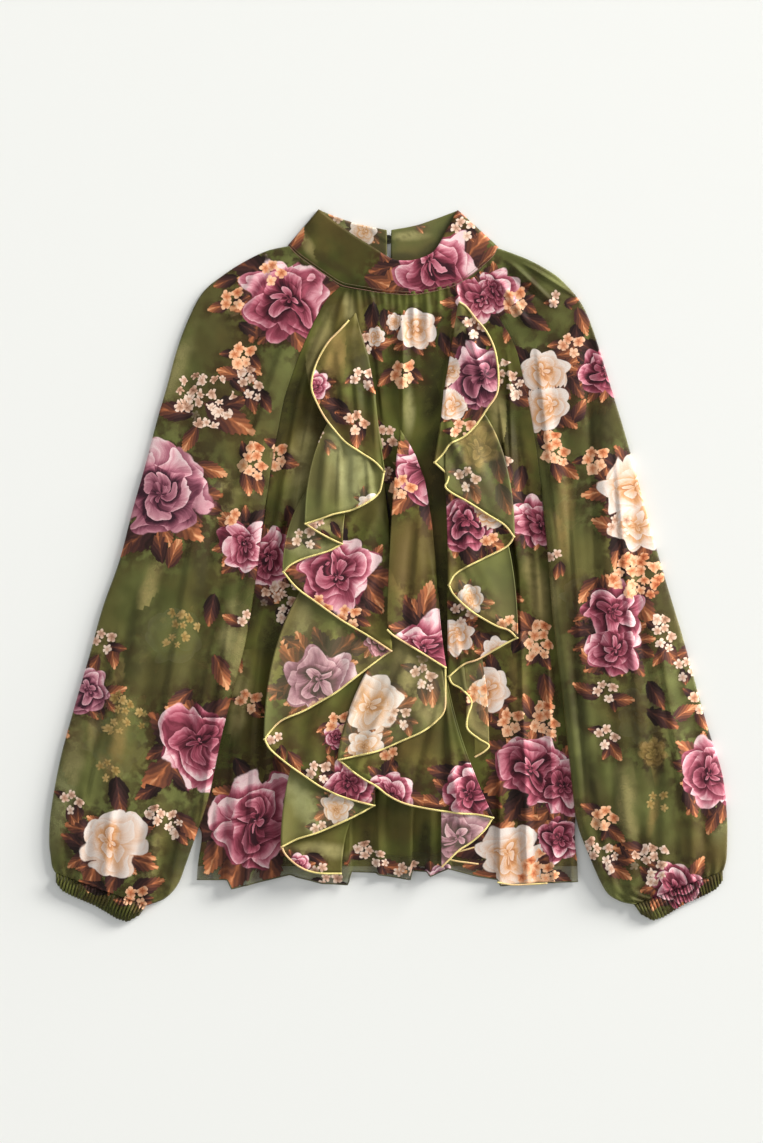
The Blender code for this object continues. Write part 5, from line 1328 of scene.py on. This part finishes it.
def ruffle_sheet(table, roots, outward, curl, lift):
    """x, y and z, and the patch numbers of the columns of faces.

    x swings outward as 1 - (1 - w) to the curl and y hangs as w to the half of that plus a half; the
    height grows with the drop below the root, so that a higher column lies on a lower one. Flutes along
    the edge follow a sine of the distance along it, and the last of the cloth turns up.
    """
    columns = ruffle_columns(table, curl < SIDE_CURL)
    top, edge_x, edge_y, offset, beyond, hang, bend, patch = columns.T[..., None]
    w = np.linspace(0, 1, RUFFLE_ALONG + 1)[None]
    bowed = 1 + (curl - 1) * bend
    x0 = np.interp(top, *np.transpose(roots)) + outward * FAN_RADIUS * (1 - hang)
    top = top + FAN_RADIUS * hang
    swing = np.where((edge_x - x0) * outward > 0, 1 - (1 - w) ** bowed, w ** 2)
    x = x0 + (edge_x - x0) * swing + beyond * TURN_HALF
    y = top + (edge_y - top) * w ** (0.5 + bowed / 2)
    z = front_height(x, y) + RUFFLE_CLEAR + 3 * TURN_HALF + lift + offset + RUFFLE_RISE * (y - top)
    relief = RUFFLE_RELIEF * creases(x, y, RUFFLE_CREASES) + fold_relief(x, y, RUFFLE_FOLDS)
    z = z + RUFFLE_LIFT * smooth(w / RELIEF_EASE) + relief * smooth((w - RELIEF_START) / RELIEF_EASE)
    run = run_along(np.stack([x[:, -1], y[:, -1], z[:, -1]], -1))[:, None]
    flute = FLUTE_HEIGHT * (np.sin(run / FLUTE_WAVE + 1.7 * np.sin(run / FLUTE_DRIFT)) - 0.2) * w ** 1.6
    broad = np.sin(run / BROAD_WAVE + 2 * np.sin(run / BROAD_DRIFT)) * np.sin(np.pi * w ** 0.7)
    flute = flute + BROAD_FLUTE * broad
    z = z + flute * (beyond == 0) + LIFTED_EDGE * w ** 7 + ROOT_RISE * smooth(w / 0.2)
    return x, y, z, patch[:-1, 0].astype(int)


edge_thread = thread_finish("overlock_thread", "#f2e08c", "#efc48e", "#b79a58")
ruffle_cloth = both_sides("ruffle_chiffon", "#6c6f32", "#494c1d", alpha=1.0, faded=0.12)


def add_ruffle(name, table, roots, outward, curl, lift, motifs):
    """A ruffle and the edging along the last column of its sheet."""
    x, y, z, patch = ruffle_sheet(table, roots, outward, curl, lift)
    piece = add_cloth(name + "_cloth", x, y, z, on_patches(motifs), ruffle_cloth, "printed_cloth",
                      flip=outward < 0, patch=patch)
    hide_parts(name)
    edge = np.stack([x[:, -1], y[:, -1], z[:, -1]], -1)
    return piece, add_tube(name + "_edging", edge, EDGE_RADIUS, edge_thread)


left_ruffle, left_edging = add_ruffle("ruffle_left", LEFT_RUFFLE, LEFT_ROOTS, -1, SIDE_CURL, 0,
                                      LEFT_RUFFLE_MOTIFS)
centre_ruffle, centre_edging = add_ruffle("ruffle_centre", CENTRE_RUFFLE, CENTRE_ROOTS, -1, CENTRE_CURL,
                                          CENTRE_LIFT, CENTRE_RUFFLE_MOTIFS)
right_ruffle, right_edging = add_ruffle("ruffle_right", RIGHT_RUFFLE, RIGHT_ROOTS, 1, SIDE_CURL, 0,
                                        RIGHT_RUFFLE_MOTIFS)

# Short lengths of the same edging show below the centre ruffle and along the hem's right.
for name, path in (("hem_edging", [(497, 881.5, 8), (512, 884, 8), (530, 883.5, 8), (547, 882.5, 8)]),
                   ("inner_edging_low", [(446, 857.5, 12), (456, 860, 12), (467, 861.5, 12), (478, 863, 12)]),
                   ("inner_edging_high", [(455, 851, 15), (461, 849.5, 15), (467, 848, 15), (474, 846, 15)])):
    add_tube(name, spline(path, np.linspace(0, 3, 40)), EDGE_RADIUS * SHORT_EDGE, edge_thread)

# ---- Button and loop ---------------------------------------------------------------------------
# A small glossy button on a shank, sewn to one end of the collar at the centre back. A loop of green
# thread on the other end goes round it.
shell, finish = new_material("button_shell")
bands = Shade(shell.node_tree).node("TexCoord", None, None, "Object").noise(300.0, 2.0, "3D")
bands.step(0.35, 0.65).mix(ink("#23240f"), ink("#4b4a28")).into(finish["Base Color"])
finish["Roughness"].default_value = 0.25
loop_thread, finish = new_material("loop_thread")
place = Shade(loop_thread.node_tree).node("TexCoord", None, None, "Object")
twist = place.node("TexWave", {"bands_direction": "DIAGONAL"}, {"Vector": place, "Scale": 900.0}, "Fac")
twist.mix(ink("#1f200f"), ink("#3d3d20")).into(finish["Base Color"])
finish["Roughness"].default_value = 0.7
for node, material in (("button", shell), ("button_loop", loop_thread)):
    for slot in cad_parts[node].material_slots:
        slot.material = material
